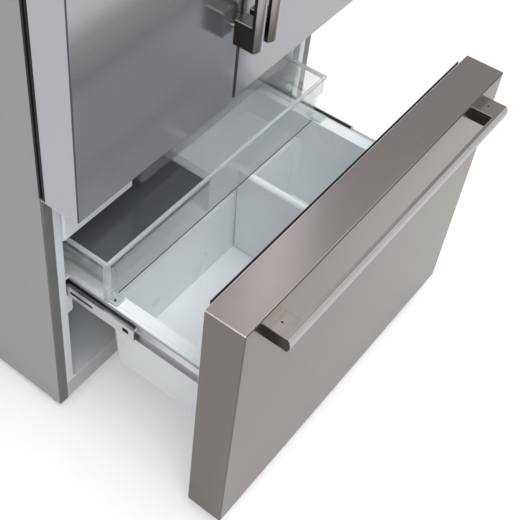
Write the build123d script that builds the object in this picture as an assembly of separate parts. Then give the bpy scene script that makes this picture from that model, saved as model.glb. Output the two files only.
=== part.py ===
from build123d import *
import math
import os

os.makedirs("parts", exist_ok=True)

# American-style fridge freezer: two doors over one wide freezer drawer, in millimetres.
# x runs left to right, y front to back, z up from the floor. Lengths are worked out with y = 0
# on the closed doors' front faces, and every piece is moved by frame_y when it is written.

# Case
case_width = 900.0
case_height = 1765.0
case_depth = 640.0
case_bottom = 20.0
sheet = 1.0
side_flange = 26.0
top_flange = 26.0
rear_flange = 20.0
fold_radius = 3.0
rib_width = 16.0
rib_depth = 2.0
rib_foot = 60.0
rib_head = 80.0

# Insulated walls, outer face to inner face
wall_side = 46.0
wall_top = 60.0
wall_rear = 60.0
liner_wall = 3.0
liner_corner = 18.0
freezer_floor = 80.0
mid_rail_height = 70.0
hump_top = 290.0
hump_depth = 266.0
hump_wall = 40.0

# Doors and drawer front
door_thickness = 87.0
gasket_space = 7.0
gasket_clearance = 0.3
gasket_width = 16.0
gasket_edge = 3.0
front_gap = 6.0
door_seam = 6.0
door_top_gap = 5.0
drawer_bottom = 38.0
drawer_height = 660.0
rail_overlap = 26.0
front_edge_radius = 3.0
dyke_depth = 37.0
dyke_width = 15.0
dyke_side_inset = 65.0
dyke_seam_inset = 61.0
dyke_end_inset = 56.0
dyke_corner = 24.0
dyke_chamfer = 4.0
inner_panel = 3.0

# Door hinges
hinge_in = 22.0
hinge_back = 40.0
hinge_pin_radius = 5.0
hinge_pin_clearance = 0.05
hinge_pin_depth = 18.0
hinge_plate = 3.0
mid_hinge_reach = 45.0
mid_hinge_foot = 62.0
top_hinge_plate = 4.0
top_hinge_reach = 70.0
top_hinge_tail = 90.0
hinge_cover_height = 25.0
hinge_cover_reach = 94.0
hinge_cover_tail = 98.0
hinge_cover_wall = 2.5

# Handles
handle_width = 32.0
handle_reach = 52.0
handle_bar_depth = 13.0
handle_bow = 6.0
handle_groove = 0.9
handle_seam_offset = 7.0
door_handle_inset = 164.0
door_post_length = 55.0
door_handle_standoff = 13.0
stud_radius = 4.5
stud_sides = 12
drawer_handle_inset = 59.0
drawer_handle_drop = 28.0
drawer_post_length = 50.0
set_screw_radius = 2.2
set_screw_depth = 6.0

# Door bins
bin_count = 3
first_bin_rise = 155.0
last_bin_drop = 153.0
door_bin_height = 112.0
door_bin_depth = 96.0
door_bin_wall = 3.0
door_bin_corner = 12.0
door_bin_back = 0.6
door_bin_side_gap = 1.0

# Freezer drawer, its bin and tray, seen with the drawer shut
drawer_open = 370.0
rim_above_hump = 123.0
bin_side_gap = 22.0
bin_rim_width = 34.0
bin_rim_lip = 8.0
bin_wall = 3.0
bin_above_floor = 78.0
step_above_hump = 48.0
bin_draft = 2.5
bin_front_gap = 16.0
rim_front_gap = 9.0
bin_hump_gap = 3.0
bin_rear_gap = 52.0
rim_rear_gap = 37.0
bin_corner = 16.0
rim_corner = 10.0
divider_share = 0.275
divider_thickness = 20.0
divider_wall = 2.5
tray_depth = 215.0
tray_overhang = 10.0
tray_inset = 2.0
tray_foot_inset = 30.0
tray_wall = 3.0
tray_step_rise = 66.0
tray_floor_rise = 95.0
tray_height = 115.0
tray_floor_thickness = 4.0
tray_ledge = 8.0
tray_panel_share = 0.434
seat_gap = 0.3

# Telescopic slides
slide_below_rim = 38.0
slide_height = 36.0
slide_width = 16.0
slide_metal = 1.5
slide_gap = 0.4
slide_wall_gap = 2.0
slide_front_gap = 3.0
slide_middle_lag = 3.0
slide_middle_short = 18.0
strip_height = 3.9
mount_block_length = 15.0
mount_block_drop = 57.0
mount_block_top = 21.0
mount_block_flange = 5.0

# Rack and cross shaft that keep both slides square
gear_module = 5.0
pinion_teeth = 10
pressure_angle = 20.0
tooth_backlash = 0.15
rack_addendum = 2.9
rack_back = 12.0
rack_width = 12.0
rack_end = 24.0
pinion_width = 7.0
shaft_below_slide = 47.0
shaft_radius = 5.0
shaft_clearance = 0.05
arm_metal = 2.1
arm_shelf = 31.0
arm_foot = 44.0
lug_width = 30.0
lug_drop = 14.0

# Upper freezer fittings
ice_box_width = 204.0
ice_box_side_gap = 4.0
ice_box_front_gap = 5.0
ice_box_rear_gap = 92.0
ice_box_above_tray = 16.0
ice_box_wall = 3.0
mould_shares = (0.4, 0.65)
basket_gap = 20.0
basket_side_gap = 28.0
basket_front_gap = 3.0
basket_rear_gap = 132.0
basket_above_tray = 4.0
basket_below_rail = 14.0
basket_wall = 2.5
basket_flange = 10.0
basket_corner = 14.0
ledge_thickness = 7.5
evaporator_space = 62.0
evaporator_rise = 24.0
evaporator_share = 0.46
evaporator_fan_share = 0.68
cover_plate = 3.0

# Fridge compartment fittings
shelf_setback = 111.0
shelf_rear_gap = 74.0
shelf_glass = 4.0
shelf_trim = 12.0
shelf_height = 10.0
lower_shelf_share = 0.28
upper_shelf_share = 0.62
ledge_width = 12.0
ledge_height = 8.0
duct_half_width = 120.0
duct_depth = 30.0
duct_wall = 2.0
crisper_setback = 78.0
crisper_side_gap = 36.0
crisper_inner_x = 24.0
crisper_lift = 10.0
crisper_height = 142.0
crisper_wall = 2.5
crisper_rim = 5.0
crisper_corner = 14.0
crisper_rail_drop = 6.3
crisper_cover_gap = 11.0
frame_bar = 12.0
mullion_thickness = 18.0
mullion_reach = 57.0
mullion_axis_x = -38.0
mullion_pin_radius = 3.0
mullion_end_gap = 23.0

# Base, feet and machine bay
base_height = 16.0
base_metal = 2.0
foot_radius = 18.0
foot_thickness = 10.0
foot_nut_radius = 9.0
foot_side_gap = 25.0
foot_setback = 28.0
roller_radius = 18.0
roller_width = 20.0
roller_side_gap = 22.0
roller_rear_gap = 44.0
roller_pin_radius = 4.0
roller_pin_clearance = 0.05
louvre_count = 6
louvre_height = 8.0
louvre_half_length = 110.0
compressor_side_gap = 220.0
compressor_radius = 80.0
compressor_sides = 24
condenser_side_gap = 45.0
condenser_width = 60.0
condenser_fins = 8
fan_radius = 58.0
fan_hub_radius = 19.0
fan_hub_sides = 12
fan_sides = 20
fan_blades = 5
fan_pin_radius = 3.0
fan_pin_clearance = 0.05

# Places that follow from the sizes above
half = case_width / 2
front_y = door_thickness + gasket_space
rear_y = front_y + case_depth
cavity_half = half - wall_side
drawer_top = drawer_bottom + drawer_height
door_bottom = drawer_top + front_gap
door_top = case_height - door_top_gap
rail_bottom = drawer_top - rail_overlap
rail_top = rail_bottom + mid_rail_height
fridge_ceiling = case_height - wall_top
cavity_rear = rear_y - wall_rear
hump_front = cavity_rear - hump_depth
bay_top = hump_top - hump_wall
bay_front = hump_front + hump_wall
cover_y = cavity_rear - evaporator_space
base_top = case_bottom + base_height
hinge_x = half - hinge_in
handle_post = handle_reach - handle_bar_depth
gasket_face = front_y - gasket_clearance
frame_y = -((-drawer_open - handle_reach) + rear_y) / 2
overall_height = case_height + hinge_cover_height

bin_rim_z = hump_top + rim_above_hump
bin_rim_half = cavity_half - bin_side_gap
bin_bottom_z = freezer_floor + bin_above_floor
bin_step_z = hump_top + step_above_hump
bin_front_y = door_thickness + bin_front_gap
bin_rim_front_y = door_thickness + rim_front_gap
bin_low_rear_y = hump_front - bin_hump_gap
bin_rear_y = cover_y - bin_rear_gap
bin_rim_rear_y = cover_y - rim_rear_gap
tray_front_y = bin_rim_rear_y + tray_overhang - tray_depth
tray_half = bin_rim_half - tray_inset
tray_foot_half = bin_rim_half - tray_foot_inset
tray_step_z = bin_rim_z + tray_step_rise
tray_floor_z = bin_rim_z + tray_floor_rise
tray_top_z = bin_rim_z + tray_height
tray_split_x = -tray_half + 2 * tray_panel_share * tray_half

slide_bottom_z = bin_rim_z - slide_below_rim
slide_top_z = slide_bottom_z + slide_height
slide_x = -cavity_half + slide_wall_gap
slide_front_y = front_y + slide_front_gap
slide_length = bin_rim_rear_y - slide_front_y
slide_middle_length = slide_length - slide_middle_short
arm_x = slide_x + slide_width - 0.1

pinion_pitch_radius = gear_module * pinion_teeth / 2
tooth_pitch = math.pi * gear_module
shaft_y = bin_rim_rear_y
shaft_z = slide_bottom_z - shaft_below_slide
rack_pitch_z = shaft_z + pinion_pitch_radius
rack_top_z = rack_pitch_z + rack_back

ice_box_x = (-cavity_half + ice_box_side_gap, -cavity_half + ice_box_side_gap + ice_box_width)
ice_box_y = (door_thickness + ice_box_front_gap, cover_y - ice_box_rear_gap)
ice_box_z = (tray_top_z + ice_box_above_tray, rail_bottom)
basket_x = (ice_box_x[1] + basket_gap, cavity_half - basket_side_gap)
basket_y = (door_thickness + basket_front_gap, cover_y - basket_rear_gap)
basket_z = (tray_top_z + basket_above_tray, rail_bottom - basket_below_rail)
ledge_z = (basket_z[1] - basket_wall - ledge_thickness, basket_z[1] - basket_wall)

shelf_front_y = front_y + shelf_setback
shelf_rear_y = cavity_rear - shelf_rear_gap
crisper_x = (-cavity_half + crisper_side_gap, -crisper_inner_x)
crisper_y = (front_y + crisper_setback, shelf_rear_y - frame_bar - 1)
crisper_z = (rail_top + crisper_lift, rail_top + crisper_lift + crisper_height)
crisper_rail_z = crisper_z[1] - crisper_rail_drop
crisper_cover_z = crisper_z[1] + crisper_cover_gap
lower_shelf_z = crisper_cover_z + lower_shelf_share * (fridge_ceiling - crisper_cover_z)
upper_shelf_z = crisper_cover_z + upper_shelf_share * (fridge_ceiling - crisper_cover_z)

foot_x = half - foot_side_gap
foot_y = front_y + foot_setback
roller_x = half - roller_side_gap
roller_y = rear_y - roller_rear_gap


def block(x, y, z):
    """A box between the low and high values of each pair."""
    size = Box(x[1] - x[0], y[1] - y[0], z[1] - z[0])
    return Pos((x[0] + x[1]) / 2, (y[0] + y[1]) / 2, (z[0] + z[1]) / 2) * size


def rounded(outline, radius):
    """Corners of a flat outline turned in three short steps."""
    outline = chamfer(outline.vertices(), radius * 0.85)
    return chamfer(outline.vertices(), radius * 0.25)


def upright(x, y, z_low, z_high, radius):
    """A round bar standing along z."""
    return Pos(x, y, (z_low + z_high) / 2) * Cylinder(radius, z_high - z_low)


def crossways(x_low, x_high, y, z, radius):
    """A round bar lying along x."""
    bar = Cylinder(radius, x_high - x_low, rotation=(0, 90, 0))
    return Pos((x_low + x_high) / 2, y, z) * bar


def lengthways(x, y_low, y_high, z, radius):
    """A round bar lying along y."""
    bar = Cylinder(radius, y_high - y_low, rotation=(90, 0, 0))
    return Pos(x, (y_low + y_high) / 2, z) * bar


def mirrored(shape):
    """The same piece on the right-hand side."""
    return mirror(shape, about=Plane.YZ)


def both_sides(shape):
    return Compound([shape, mirrored(shape)])


def opened(shape):
    """A drawer piece drawn shut, moved to where the drawer rests."""
    return Pos(0, -drawer_open, 0) * shape


def edges_at(shape, axis, **place):
    """Edges along an axis whose middle lies at the given x, y or z."""
    found = shape.edges().filter_by(axis)
    for name, value in place.items():
        found = found.filter_by(lambda e: abs(getattr(e.center(), name.upper()) - value) < 0.01)
    return found


# Outer case
def side_panel():
    height = (case_bottom, case_height)
    panel = block((-half, -half + sheet), (front_y, rear_y), height)
    panel += block((-half, -half + side_flange), (front_y, front_y + sheet), height)
    panel += block((-half, -half + rear_flange), (rear_y - sheet, rear_y), height)
    inner = edges_at(panel, Axis.Z, x=-half + sheet, y=front_y + sheet)
    outer = edges_at(panel, Axis.Z, x=-half, y=front_y)
    panel = fillet(inner, fold_radius - sheet)
    outer = edges_at(panel, Axis.Z, x=-half, y=front_y)
    return fillet(outer, fold_radius)


def top_panel():
    inside = half - sheet
    panel = block((-inside, inside), (front_y + sheet, rear_y - sheet), (case_height - sheet, case_height))
    panel = chamfer(edges_at(panel, Axis.Z, y=front_y + sheet), fold_radius)
    lip_x = half - side_flange
    return panel + block((-lip_x, lip_x), (front_y, front_y + sheet), (case_height - top_flange, case_height))


def rear_ribs():
    """Ribs pressed into the back panel, which the foam is set round."""
    ribs = []
    for side in (-1, 0, 1):
        middle = side * (half - rear_flange) / 2
        ribs.append(block((middle - rib_width / 2, middle + rib_width / 2),
                          (rear_y - sheet - rib_depth, rear_y - sheet),
                          (bay_top + rib_foot, case_height - rib_head)))
    return ribs


def back_panel():
    width = half - rear_flange
    return block((-width, width), (rear_y - sheet, rear_y), (bay_top, case_height - sheet)) + rear_ribs()


def machine_cover():
    width = half - rear_flange
    margin = 25.0
    y = (rear_y - 1.5, rear_y)
    cover = block((-width, width), y, (base_top, bay_top))
    step = (bay_top - base_top - 2 * margin) / louvre_count
    for side in (-1, 1):
        middle = side * width * 0.55
        for row in range(louvre_count):
            z = base_top + margin + (row + 0.5) * step
            cover -= block((middle - louvre_half_length, middle + louvre_half_length), y,
                           (z - louvre_height / 2, z + louvre_height / 2))
    return cover


def cavity(x_half, y_rear, z_low, z_high, y_front=None):
    start = front_y if y_front is None else y_front
    return block((-x_half, x_half), (start, y_rear), (z_low, z_high))


def freezer_space(offset, y_front):
    """The freezer's stepped hollow, grown outwards by offset."""
    outline = Polyline(
        (y_front, freezer_floor - offset),
        (hump_front + offset, freezer_floor - offset),
        (hump_front + offset, hump_top - offset),
        (cavity_rear + offset, hump_top - offset),
        (cavity_rear + offset, rail_bottom + offset),
        (y_front, rail_bottom + offset),
        close=True,
    )
    width = 2 * (cavity_half + offset)
    return extrude(Plane.YZ * make_face(outline), width / 2, both=True)


def toe_block():
    lip_x = half - side_flange
    z = (case_bottom + 2, freezer_floor - liner_wall)
    return block((-lip_x, lip_x), (front_y, front_y + liner_wall), z)


def foam_insulation():
    inside = half - sheet
    foam = block((-inside, inside), (front_y + sheet, rear_y - sheet), (base_top, case_height - sheet))
    for x in (-inside, inside):
        foam = chamfer(edges_at(foam, Axis.Z, x=x, y=front_y + sheet), fold_radius)
    foam -= cavity(cavity_half + liner_wall, cavity_rear + liner_wall, rail_top - liner_wall,
                   fridge_ceiling + liner_wall)
    foam -= freezer_space(liner_wall, front_y)
    foam -= block((-inside, inside), (bay_front, rear_y), (base_top, bay_top))
    foam -= toe_block()
    return foam - rear_ribs()


def lip_ring(z_low, z_high, hole_low, hole_high):
    """Flat edge of a liner that closes the foam at the front."""
    outer = half - side_flange
    ring = block((-outer, outer), (front_y, front_y + sheet), (z_low, z_high))
    return ring - block((-cavity_half, cavity_half), (front_y, front_y + sheet), (hole_low, hole_high))


def fridge_liner():
    low, high = rail_top - liner_wall, fridge_ceiling + liner_wall
    liner = cavity(cavity_half + liner_wall, cavity_rear + liner_wall, low, high, front_y)
    inner = cavity(cavity_half, cavity_rear, rail_top, fridge_ceiling)
    along = inner.edges().filter_by(Axis.Y) + edges_at(inner, Axis.Z, y=cavity_rear)
    inner = fillet(along, liner_corner)
    liner += lip_ring(low, case_height - top_flange, rail_top, fridge_ceiling)
    liner -= inner
    for shelf_z in (lower_shelf_z, upper_shelf_z):
        for side in (-1, 1):
            wall, edge = side * cavity_half, side * (cavity_half - ledge_width)
            span = (min(wall, edge), max(wall, edge))
            top = shelf_z - shelf_height / 2
            liner += block(span, (shelf_front_y, shelf_rear_y), (top - ledge_height, top))
    return liner


def freezer_liner():
    liner = freezer_space(liner_wall, front_y)
    inner = freezer_space(0, front_y)
    along = inner.edges().filter_by(Axis.Y)
    for y in (hump_front, cavity_rear):
        along += edges_at(inner, Axis.Z, y=y)
    inner = fillet(along, liner_corner)
    outer = half - side_flange
    liner += block((-outer, outer), (front_y, front_y + sheet),
                   (freezer_floor - liner_wall, rail_bottom + liner_wall))
    liner -= inner
    return liner + block((basket_x[1] + 2, cavity_half), (front_y + 8, basket_y[1]), ledge_z)


def mid_rail():
    outer = half - side_flange
    z = (rail_bottom + liner_wall, rail_top - liner_wall)
    return block((-outer, outer), (front_y, front_y + sheet), z)


def base_frame():
    """Pan under the case with two cross bars and, at the rear, the wells and pins of the rollers."""
    inside = half - sheet
    y = (front_y + liner_wall, rear_y - 1.5)
    pan = block((-inside, inside), y, (case_bottom, base_top))
    pan -= block((-inside + base_metal, inside - base_metal), (y[0] + base_metal, y[1] - base_metal),
                 (case_bottom + base_metal, base_top))
    bar = 14.0
    for bar_y in (bay_front - bar, foot_y - bar / 2):
        pan += block((-inside, inside), (bar_y, bar_y + bar), (case_bottom, base_top))
    well = roller_width / 2 + 3
    slot = roller_radius + 4
    ear_reach = 12.0
    for side in (-1, 1):
        middle = side * roller_x
        pan -= block((middle - well, middle + well), (roller_y - slot, roller_y + slot),
                     (case_bottom - 1, case_bottom + base_metal + 1))
        for ear in (middle - well - base_metal, middle + well):
            pan += block((ear, ear + base_metal), (roller_y - ear_reach, roller_y + ear_reach),
                         (roller_radius / 2, base_top - 2))
        pan += crossways(middle - well - 1, middle + well + 1, roller_y, roller_radius, roller_pin_radius)
    return pan


def toe_panel():
    return fillet(edges_at(toe_block(), Axis.X, y=front_y), 1.2)


def levelling_feet():
    pad = extrude(Pos(-foot_x, foot_y) * RegularPolygon(foot_radius, 16), foot_thickness)
    nut = Pos(-foot_x, foot_y, foot_thickness) * RegularPolygon(foot_nut_radius, 6)
    return both_sides(pad + extrude(nut, case_bottom - foot_thickness, dir=(0, 0, 1)))


def rear_rollers():
    x = (-roller_x - roller_width / 2, -roller_x + roller_width / 2)
    wheel = crossways(*x, roller_y, roller_radius, roller_radius)
    wheel -= crossways(*x, roller_y, roller_radius, roller_pin_radius + roller_pin_clearance)
    return both_sides(wheel)


# Cooling system
def compressor():
    """Welded pot on a plate with four rubber feet, its terminal box on the inner side."""
    x, y = half - compressor_side_gap, (bay_front + rear_y) / 2
    low, high = base_top + 22, bay_top - 12
    pot = extrude(Pos(x, y, low) * RegularPolygon(compressor_radius, compressor_sides), high - low)
    pot = chamfer(pot.faces().filter_by(Axis.Z).edges(), 22)
    plate_x, plate_y = compressor_radius + 15, compressor_radius - 10
    pot += block((x - plate_x, x + plate_x), (y - plate_y, y + plate_y), (low, low + 3))
    rubber = 11.0
    for dx in (-plate_x + rubber, plate_x - rubber):
        for dy in (-plate_y + rubber, plate_y - rubber):
            pot += block((x + dx - rubber, x + dx + rubber), (y + dy - rubber, y + dy + rubber),
                         (case_bottom + base_metal, low))
    seam = (low + high) / 2
    inner = x - compressor_radius
    return pot + block((inner - 30, inner + 12), (y - 32, y + 32), (seam - 28, seam + 40))


condenser_x = (-half + condenser_side_gap, -half + condenser_side_gap + condenser_width)
condenser_y = (bay_front + 25, rear_y - 38.8)
condenser_z = (case_bottom + base_metal, bay_top - 38)
condenser_middle_y = (condenser_y[0] + condenser_y[1]) / 2
condenser_fan_x = condenser_x[1] + 45
condenser_fan_z = condenser_z[1] - 84
shroud_wall = 2.0
shroud_front = condenser_fan_x + 22
fan_swing = fan_radius + 4


def condenser():
    """Finned block with the shroud and motor of its fan."""
    fin = 1.2
    pitch = (condenser_y[1] - condenser_y[0] - fin) / condenser_fins
    core = block(condenser_x, condenser_y, (condenser_z[0], condenser_z[0] + 3))
    core += block(condenser_x, condenser_y, (condenser_z[1] - 3, condenser_z[1]))
    for k in range(condenser_fins + 1):
        y = condenser_y[0] + k * pitch
        core += block(condenser_x, (y, y + fin), condenser_z)
    shroud = block((condenser_x[1], shroud_front), condenser_y, condenser_z)
    hollow_y = (condenser_y[0] + shroud_wall, condenser_y[1] - shroud_wall)
    hollow_z = (condenser_z[0] + shroud_wall, condenser_z[1] - shroud_wall)
    shroud -= block((condenser_x[1], condenser_fan_x), hollow_y, hollow_z)
    ring = Plane.YZ.offset(condenser_fan_x - 1) * Pos(condenser_middle_y, condenser_fan_z)
    shroud -= extrude(ring * RegularPolygon(fan_swing, fan_sides), shroud_front - condenser_fan_x + 2)
    motor_x = (condenser_fan_x - 22, condenser_fan_x + 2)
    motor_half = fan_hub_radius - 1
    motor = block(motor_x, (condenser_middle_y - motor_half, condenser_middle_y + motor_half),
                  (condenser_fan_z - motor_half, condenser_fan_z + motor_half))
    motor += block((motor_x[0], motor_x[0] + 6), condenser_y, (condenser_fan_z - 5, condenser_fan_z + 5))
    motor -= crossways(condenser_fan_x - 12, motor_x[1] + 1, condenser_middle_y, condenser_fan_z,
                       fan_pin_radius + fan_pin_clearance)
    return core + shroud + motor


def fan_rotor(depth):
    """A rotor that spins about +z, with its hub's back on z = 0 and its pin below."""
    rotor = extrude(RegularPolygon(fan_hub_radius, fan_hub_sides), depth)
    rotor += Pos(0, 0, -5) * Cylinder(fan_pin_radius, 12)
    chord, twist = 34.0, 32.0
    reach = math.sqrt(fan_radius**2 - (chord / 2)**2)
    root = fan_hub_radius - 5
    for k in range(fan_blades):
        blade = Pos((reach + root) / 2, 0, depth / 2) * Rot(twist, 0, 0) * Box(reach - root, chord, 1.8)
        rotor += Rot(0, 0, 360 / fan_blades * k) * blade
    return rotor


def condenser_fan():
    place = Location((condenser_fan_x + 4.5, condenser_middle_y, condenser_fan_z), (0, 90, 0))
    return place * fan_rotor(16)


def evaporator():
    """Finned coil standing on the step behind the cover, with its tube's bends at both ends."""
    y = (cover_y + 14, cavity_rear - 4)
    z = (hump_top + evaporator_rise, hump_top + evaporator_share * (rail_bottom - hump_top))
    reach = cavity_half - 114
    fin_count = 8
    fin, core = 5.0, 12.0
    pitch = (2 * reach - fin) / fin_count
    coil = block((-reach, reach), (y[0] + core, y[1] - core), z)
    for k in range(fin_count + 1):
        x = -reach + k * pitch
        coil += block((x, x + fin), y, z)
    row_count = 4
    tube = 10.0
    step = (z[1] - z[0]) / row_count
    middle = (y[0] + y[1]) / 2
    for row in range(row_count - 1):
        side = 1 if row % 2 == 0 else -1
        bend = sorted((side * (reach - 1), side * (reach + 16)))
        low = z[0] + (row + 0.5) * step - tube / 2
        turn = block(bend, (middle - tube / 2, middle + tube / 2), (low, low + step + tube))
        turn -= block(sorted((side * (reach - 1), side * (reach + 6))), (middle - tube, middle + tube),
                      (low + tube, low + step))
        coil += chamfer(edges_at(turn, Axis.Y, x=side * (reach + 16)), 5)
    for side in (-1, 1):
        foot = sorted((side * reach, side * (reach - 12)))
        coil += block(foot, (y[0] + 6, cavity_rear - liner_corner - 2), (hump_top, z[0] + 2))
    return coil


evaporator_fan_z = hump_top + evaporator_fan_share * (rail_bottom - hump_top)


def evaporator_cover():
    half_width = cavity_half - seat_gap
    y = (cover_y, cover_y + cover_plate)
    plate = block((-half_width, half_width), y, (hump_top + seat_gap, rail_bottom - seat_gap))
    plate = fillet(plate.edges().filter_by(Axis.Y), liner_corner)
    slot_reach, slot_pitch, slot = cavity_half - 144, 30.0, 8.0
    for row in range(3):
        z = hump_top + 40 + row * slot_pitch
        for side in (-1, 1):
            plate -= block(sorted((side * 4, side * slot_reach)), y, (z, z + slot))
    opening = Plane.XZ.offset(-y[1]) * Pos(0, evaporator_fan_z) * RegularPolygon(fan_swing, fan_sides)
    plate -= extrude(opening, cover_plate, dir=(0, -1, 0))
    spoke = 2 * fan_swing + 4
    for size in (Box(spoke, cover_plate, 6), Box(6, cover_plate, spoke)):
        plate += Pos(0, (y[0] + y[1]) / 2, evaporator_fan_z) * size
    motor = fan_hub_radius - 3
    plate += block((-motor, motor), (y[0], y[0] + 14), (evaporator_fan_z - motor, evaporator_fan_z + motor))
    return plate - lengthways(0, y[0] + 4, y[0] + 15, evaporator_fan_z, fan_pin_radius + fan_pin_clearance)


def evaporator_fan():
    place = Location((0, cover_y + 17.5, evaporator_fan_z), (-90, 0, 0))
    return place * fan_rotor(14)


def fridge_duct_cover():
    z = (rail_top + 22, fridge_ceiling - 20)
    y = (cavity_rear - duct_depth, cavity_rear)
    cover = block((-duct_half_width, duct_half_width), y, z)
    for side in (-1, 1):
        cover = chamfer(edges_at(cover, Axis.Z, x=side * duct_half_width, y=y[0]), 12)
    cover -= block((-duct_half_width + 14, duct_half_width - 14), (y[0] + duct_wall, y[1]), (z[0] + duct_wall,
                   z[1] - duct_wall))
    for shelf_z in (crisper_cover_z, lower_shelf_z, upper_shelf_z):
        for side in (-1, 1):
            middle = side * duct_half_width * 0.45
            for row in range(2):
                low = shelf_z + 60 + row * 22
                cover -= block((middle - 30, middle + 30), (y[0] - 1, y[0] + duct_wall + 1), (low, low + 9))
    return cover


# Shelves and crispers
def shelf_frame(z):
    outer_half = cavity_half - 6
    low, high = z - shelf_height / 2, z + shelf_height / 2
    frame = block((-outer_half, outer_half), (shelf_front_y, shelf_rear_y), (low, high))
    frame -= block((-outer_half + shelf_trim, outer_half - shelf_trim),
                   (shelf_front_y + shelf_trim, shelf_rear_y - shelf_trim), (low, high))
    rebate = shelf_trim / 2
    frame -= block((-outer_half + rebate, outer_half - rebate),
                   (shelf_front_y + rebate, shelf_rear_y - rebate), (high - shelf_glass, high))
    return fillet(edges_at(frame, Axis.X, y=shelf_front_y), 2.5)


def shelf_pane(z):
    rebate = cavity_half - 6 - shelf_trim / 2 - seat_gap
    high = z + shelf_height / 2
    return block((-rebate, rebate), (shelf_front_y + shelf_trim / 2 + seat_gap,
                 shelf_rear_y - shelf_trim / 2 - seat_gap), (high - shelf_glass, high))


def crisper_frame():
    """Frame that carries the cover glass and both crispers' rails."""
    wall = cavity_half - seat_gap
    y = (shelf_front_y, shelf_rear_y)
    rail_low = crisper_rail_z - 17
    bar_low = crisper_cover_z - 9
    frame = block((-wall, wall), (y[0], y[0] + frame_bar), (bar_low, crisper_cover_z))
    frame += block((-wall, wall), (y[1] - frame_bar, y[1]), (rail_low, crisper_cover_z))
    frame += block((-3, 3), y, (rail_top, crisper_cover_z))
    inner_rail = crisper_inner_x + 4
    frame += block((-inner_rail, inner_rail), y, (rail_low, crisper_rail_z))
    for side in (-1, 1):
        edges = sorted((side * wall, side * (wall - 4)))
        frame += block(edges, y, (rail_top + liner_corner + 2, crisper_cover_z))
        rail = sorted((side * wall, side * (-crisper_x[0] - 4)))
        frame += block(rail, y, (rail_low, crisper_rail_z))
        cap = sorted((side * wall, side * (wall - 18)))
        frame += block(cap, y, (bar_low, crisper_cover_z))
    return frame


def crisper_cover_glass():
    edge = cavity_half - 8
    z = (crisper_cover_z, crisper_cover_z + shelf_glass)
    return block((-edge, edge), (shelf_front_y, shelf_rear_y), z)


def crisper():
    """Left-hand crisper drawer, open at the top, with rims that hang on the frame's rails."""
    x = (crisper_x[0] + crisper_rim, crisper_x[1] - crisper_rim)
    y, z, wall = crisper_y, crisper_z, crisper_wall
    rim_z = (crisper_rail_z + seat_gap, crisper_rail_z + seat_gap + 3)
    body = block(x, y, (z[0], rim_z[1]))
    body = fillet(body.edges().filter_by(Axis.Y).sort_by(Axis.Z)[:2], crisper_corner)
    hollow = block((x[0] + wall, x[1] - wall), (y[0] + 6, y[1] - wall), (z[0] + wall, rim_z[1]))
    hollow = fillet(hollow.edges().filter_by(Axis.Y).sort_by(Axis.Z)[:2], crisper_corner - wall)
    body += block(crisper_x, y, rim_z)
    body -= hollow
    face = block(crisper_x, (y[0] - 4, y[0] + 4), z)
    face = chamfer(face.edges().filter_by(Axis.Y), 5)
    grip = block((x[0] + 90, x[1] - 90), (y[0] - 4, y[0] + 1), (z[1] - 26, z[1] - 10))
    return body + face - grip


# Doors
def front_shell(x, y, z, radius):
    """Folded steel skin of a door: front face and four returns, open at the back."""
    shell = block(x, y, z)
    shell = fillet(shell.edges().filter_by(lambda e: e.center().Y < y[0] + 0.01), radius)
    hollow = block((x[0] + sheet, x[1] - sheet), (y[0] + sheet, y[1]), (z[0] + sheet, z[1] - sheet))
    front = hollow.edges().filter_by(lambda e: e.center().Y < y[0] + sheet + 0.01)
    return shell - chamfer(front, radius - sheet)


def door_core(x, y, z, radius):
    """Foam-filled inside of a door, up to its inner panel."""
    core = block((x[0] + sheet, x[1] - sheet), (y[0] + sheet, y[1]), (z[0] + sheet, z[1] - sheet))
    return chamfer(core.edges().filter_by(lambda e: e.center().Y < y[0] + sheet + 0.01), radius - sheet)


door_x = (-half, -door_seam / 2)
door_y = (0.0, door_thickness)
door_z = (door_bottom, door_top)
dyke_x = (-half + dyke_side_inset, -door_seam / 2 - dyke_seam_inset)
dyke_z = (door_bottom + dyke_end_inset, door_top - dyke_end_inset)
mullion_axis_y = front_y + mullion_thickness / 2 + gasket_clearance
mullion_z = (rail_top + mullion_end_gap, fridge_ceiling - mullion_end_gap)


def door_skin():
    skin = front_shell(door_x, (0, door_thickness - 1), door_z, front_edge_radius)
    for z in (door_bottom, door_top):
        clear = hinge_pin_radius + 3
        skin -= block((-hinge_x - clear, -hinge_x + clear), (hinge_back - clear, hinge_back + clear),
                      (z - 2, z + 2))
    return skin


def door_liner(with_mullion_lugs):
    core = door_core(door_x, door_y, door_z, front_edge_radius)
    dyke = block(dyke_x, (door_thickness - 1, door_thickness + dyke_depth), dyke_z)
    dyke = fillet(dyke.edges().filter_by(Axis.Y), dyke_corner)
    crest = dyke.edges().filter_by(lambda e: e.center().Y > door_thickness + dyke_depth - 0.01)
    dyke = chamfer(crest, dyke_chamfer)
    well = block((dyke_x[0] + dyke_width, dyke_x[1] - dyke_width),
                 (door_thickness + inner_panel, door_thickness + dyke_depth + 1),
                 (dyke_z[0] + dyke_width, dyke_z[1] - dyke_width))
    well = chamfer(well.edges().filter_by(Axis.Y), dyke_corner / 4)
    core += dyke
    core -= well
    for z, sign in ((door_bottom, 1), (door_top, -1)):
        deep = z + sign * (hinge_pin_depth + 4)
        bore = hinge_pin_radius + hinge_pin_clearance
        core -= upright(-hinge_x, hinge_back, min(z, deep), max(z, deep), bore)
    if with_mullion_lugs:
        for low, pin_low in ((mullion_z[0] - 7, mullion_z[0] - 2), (mullion_z[1] + 1, mullion_z[1] - 10)):
            core += block((mullion_axis_x - 7, mullion_axis_x + 7), (door_thickness - 1, mullion_axis_y + 6),
                          (low, low + 6))
            core += upright(mullion_axis_x, mullion_axis_y, pin_low, pin_low + 12, mullion_pin_radius)
    return core


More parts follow.
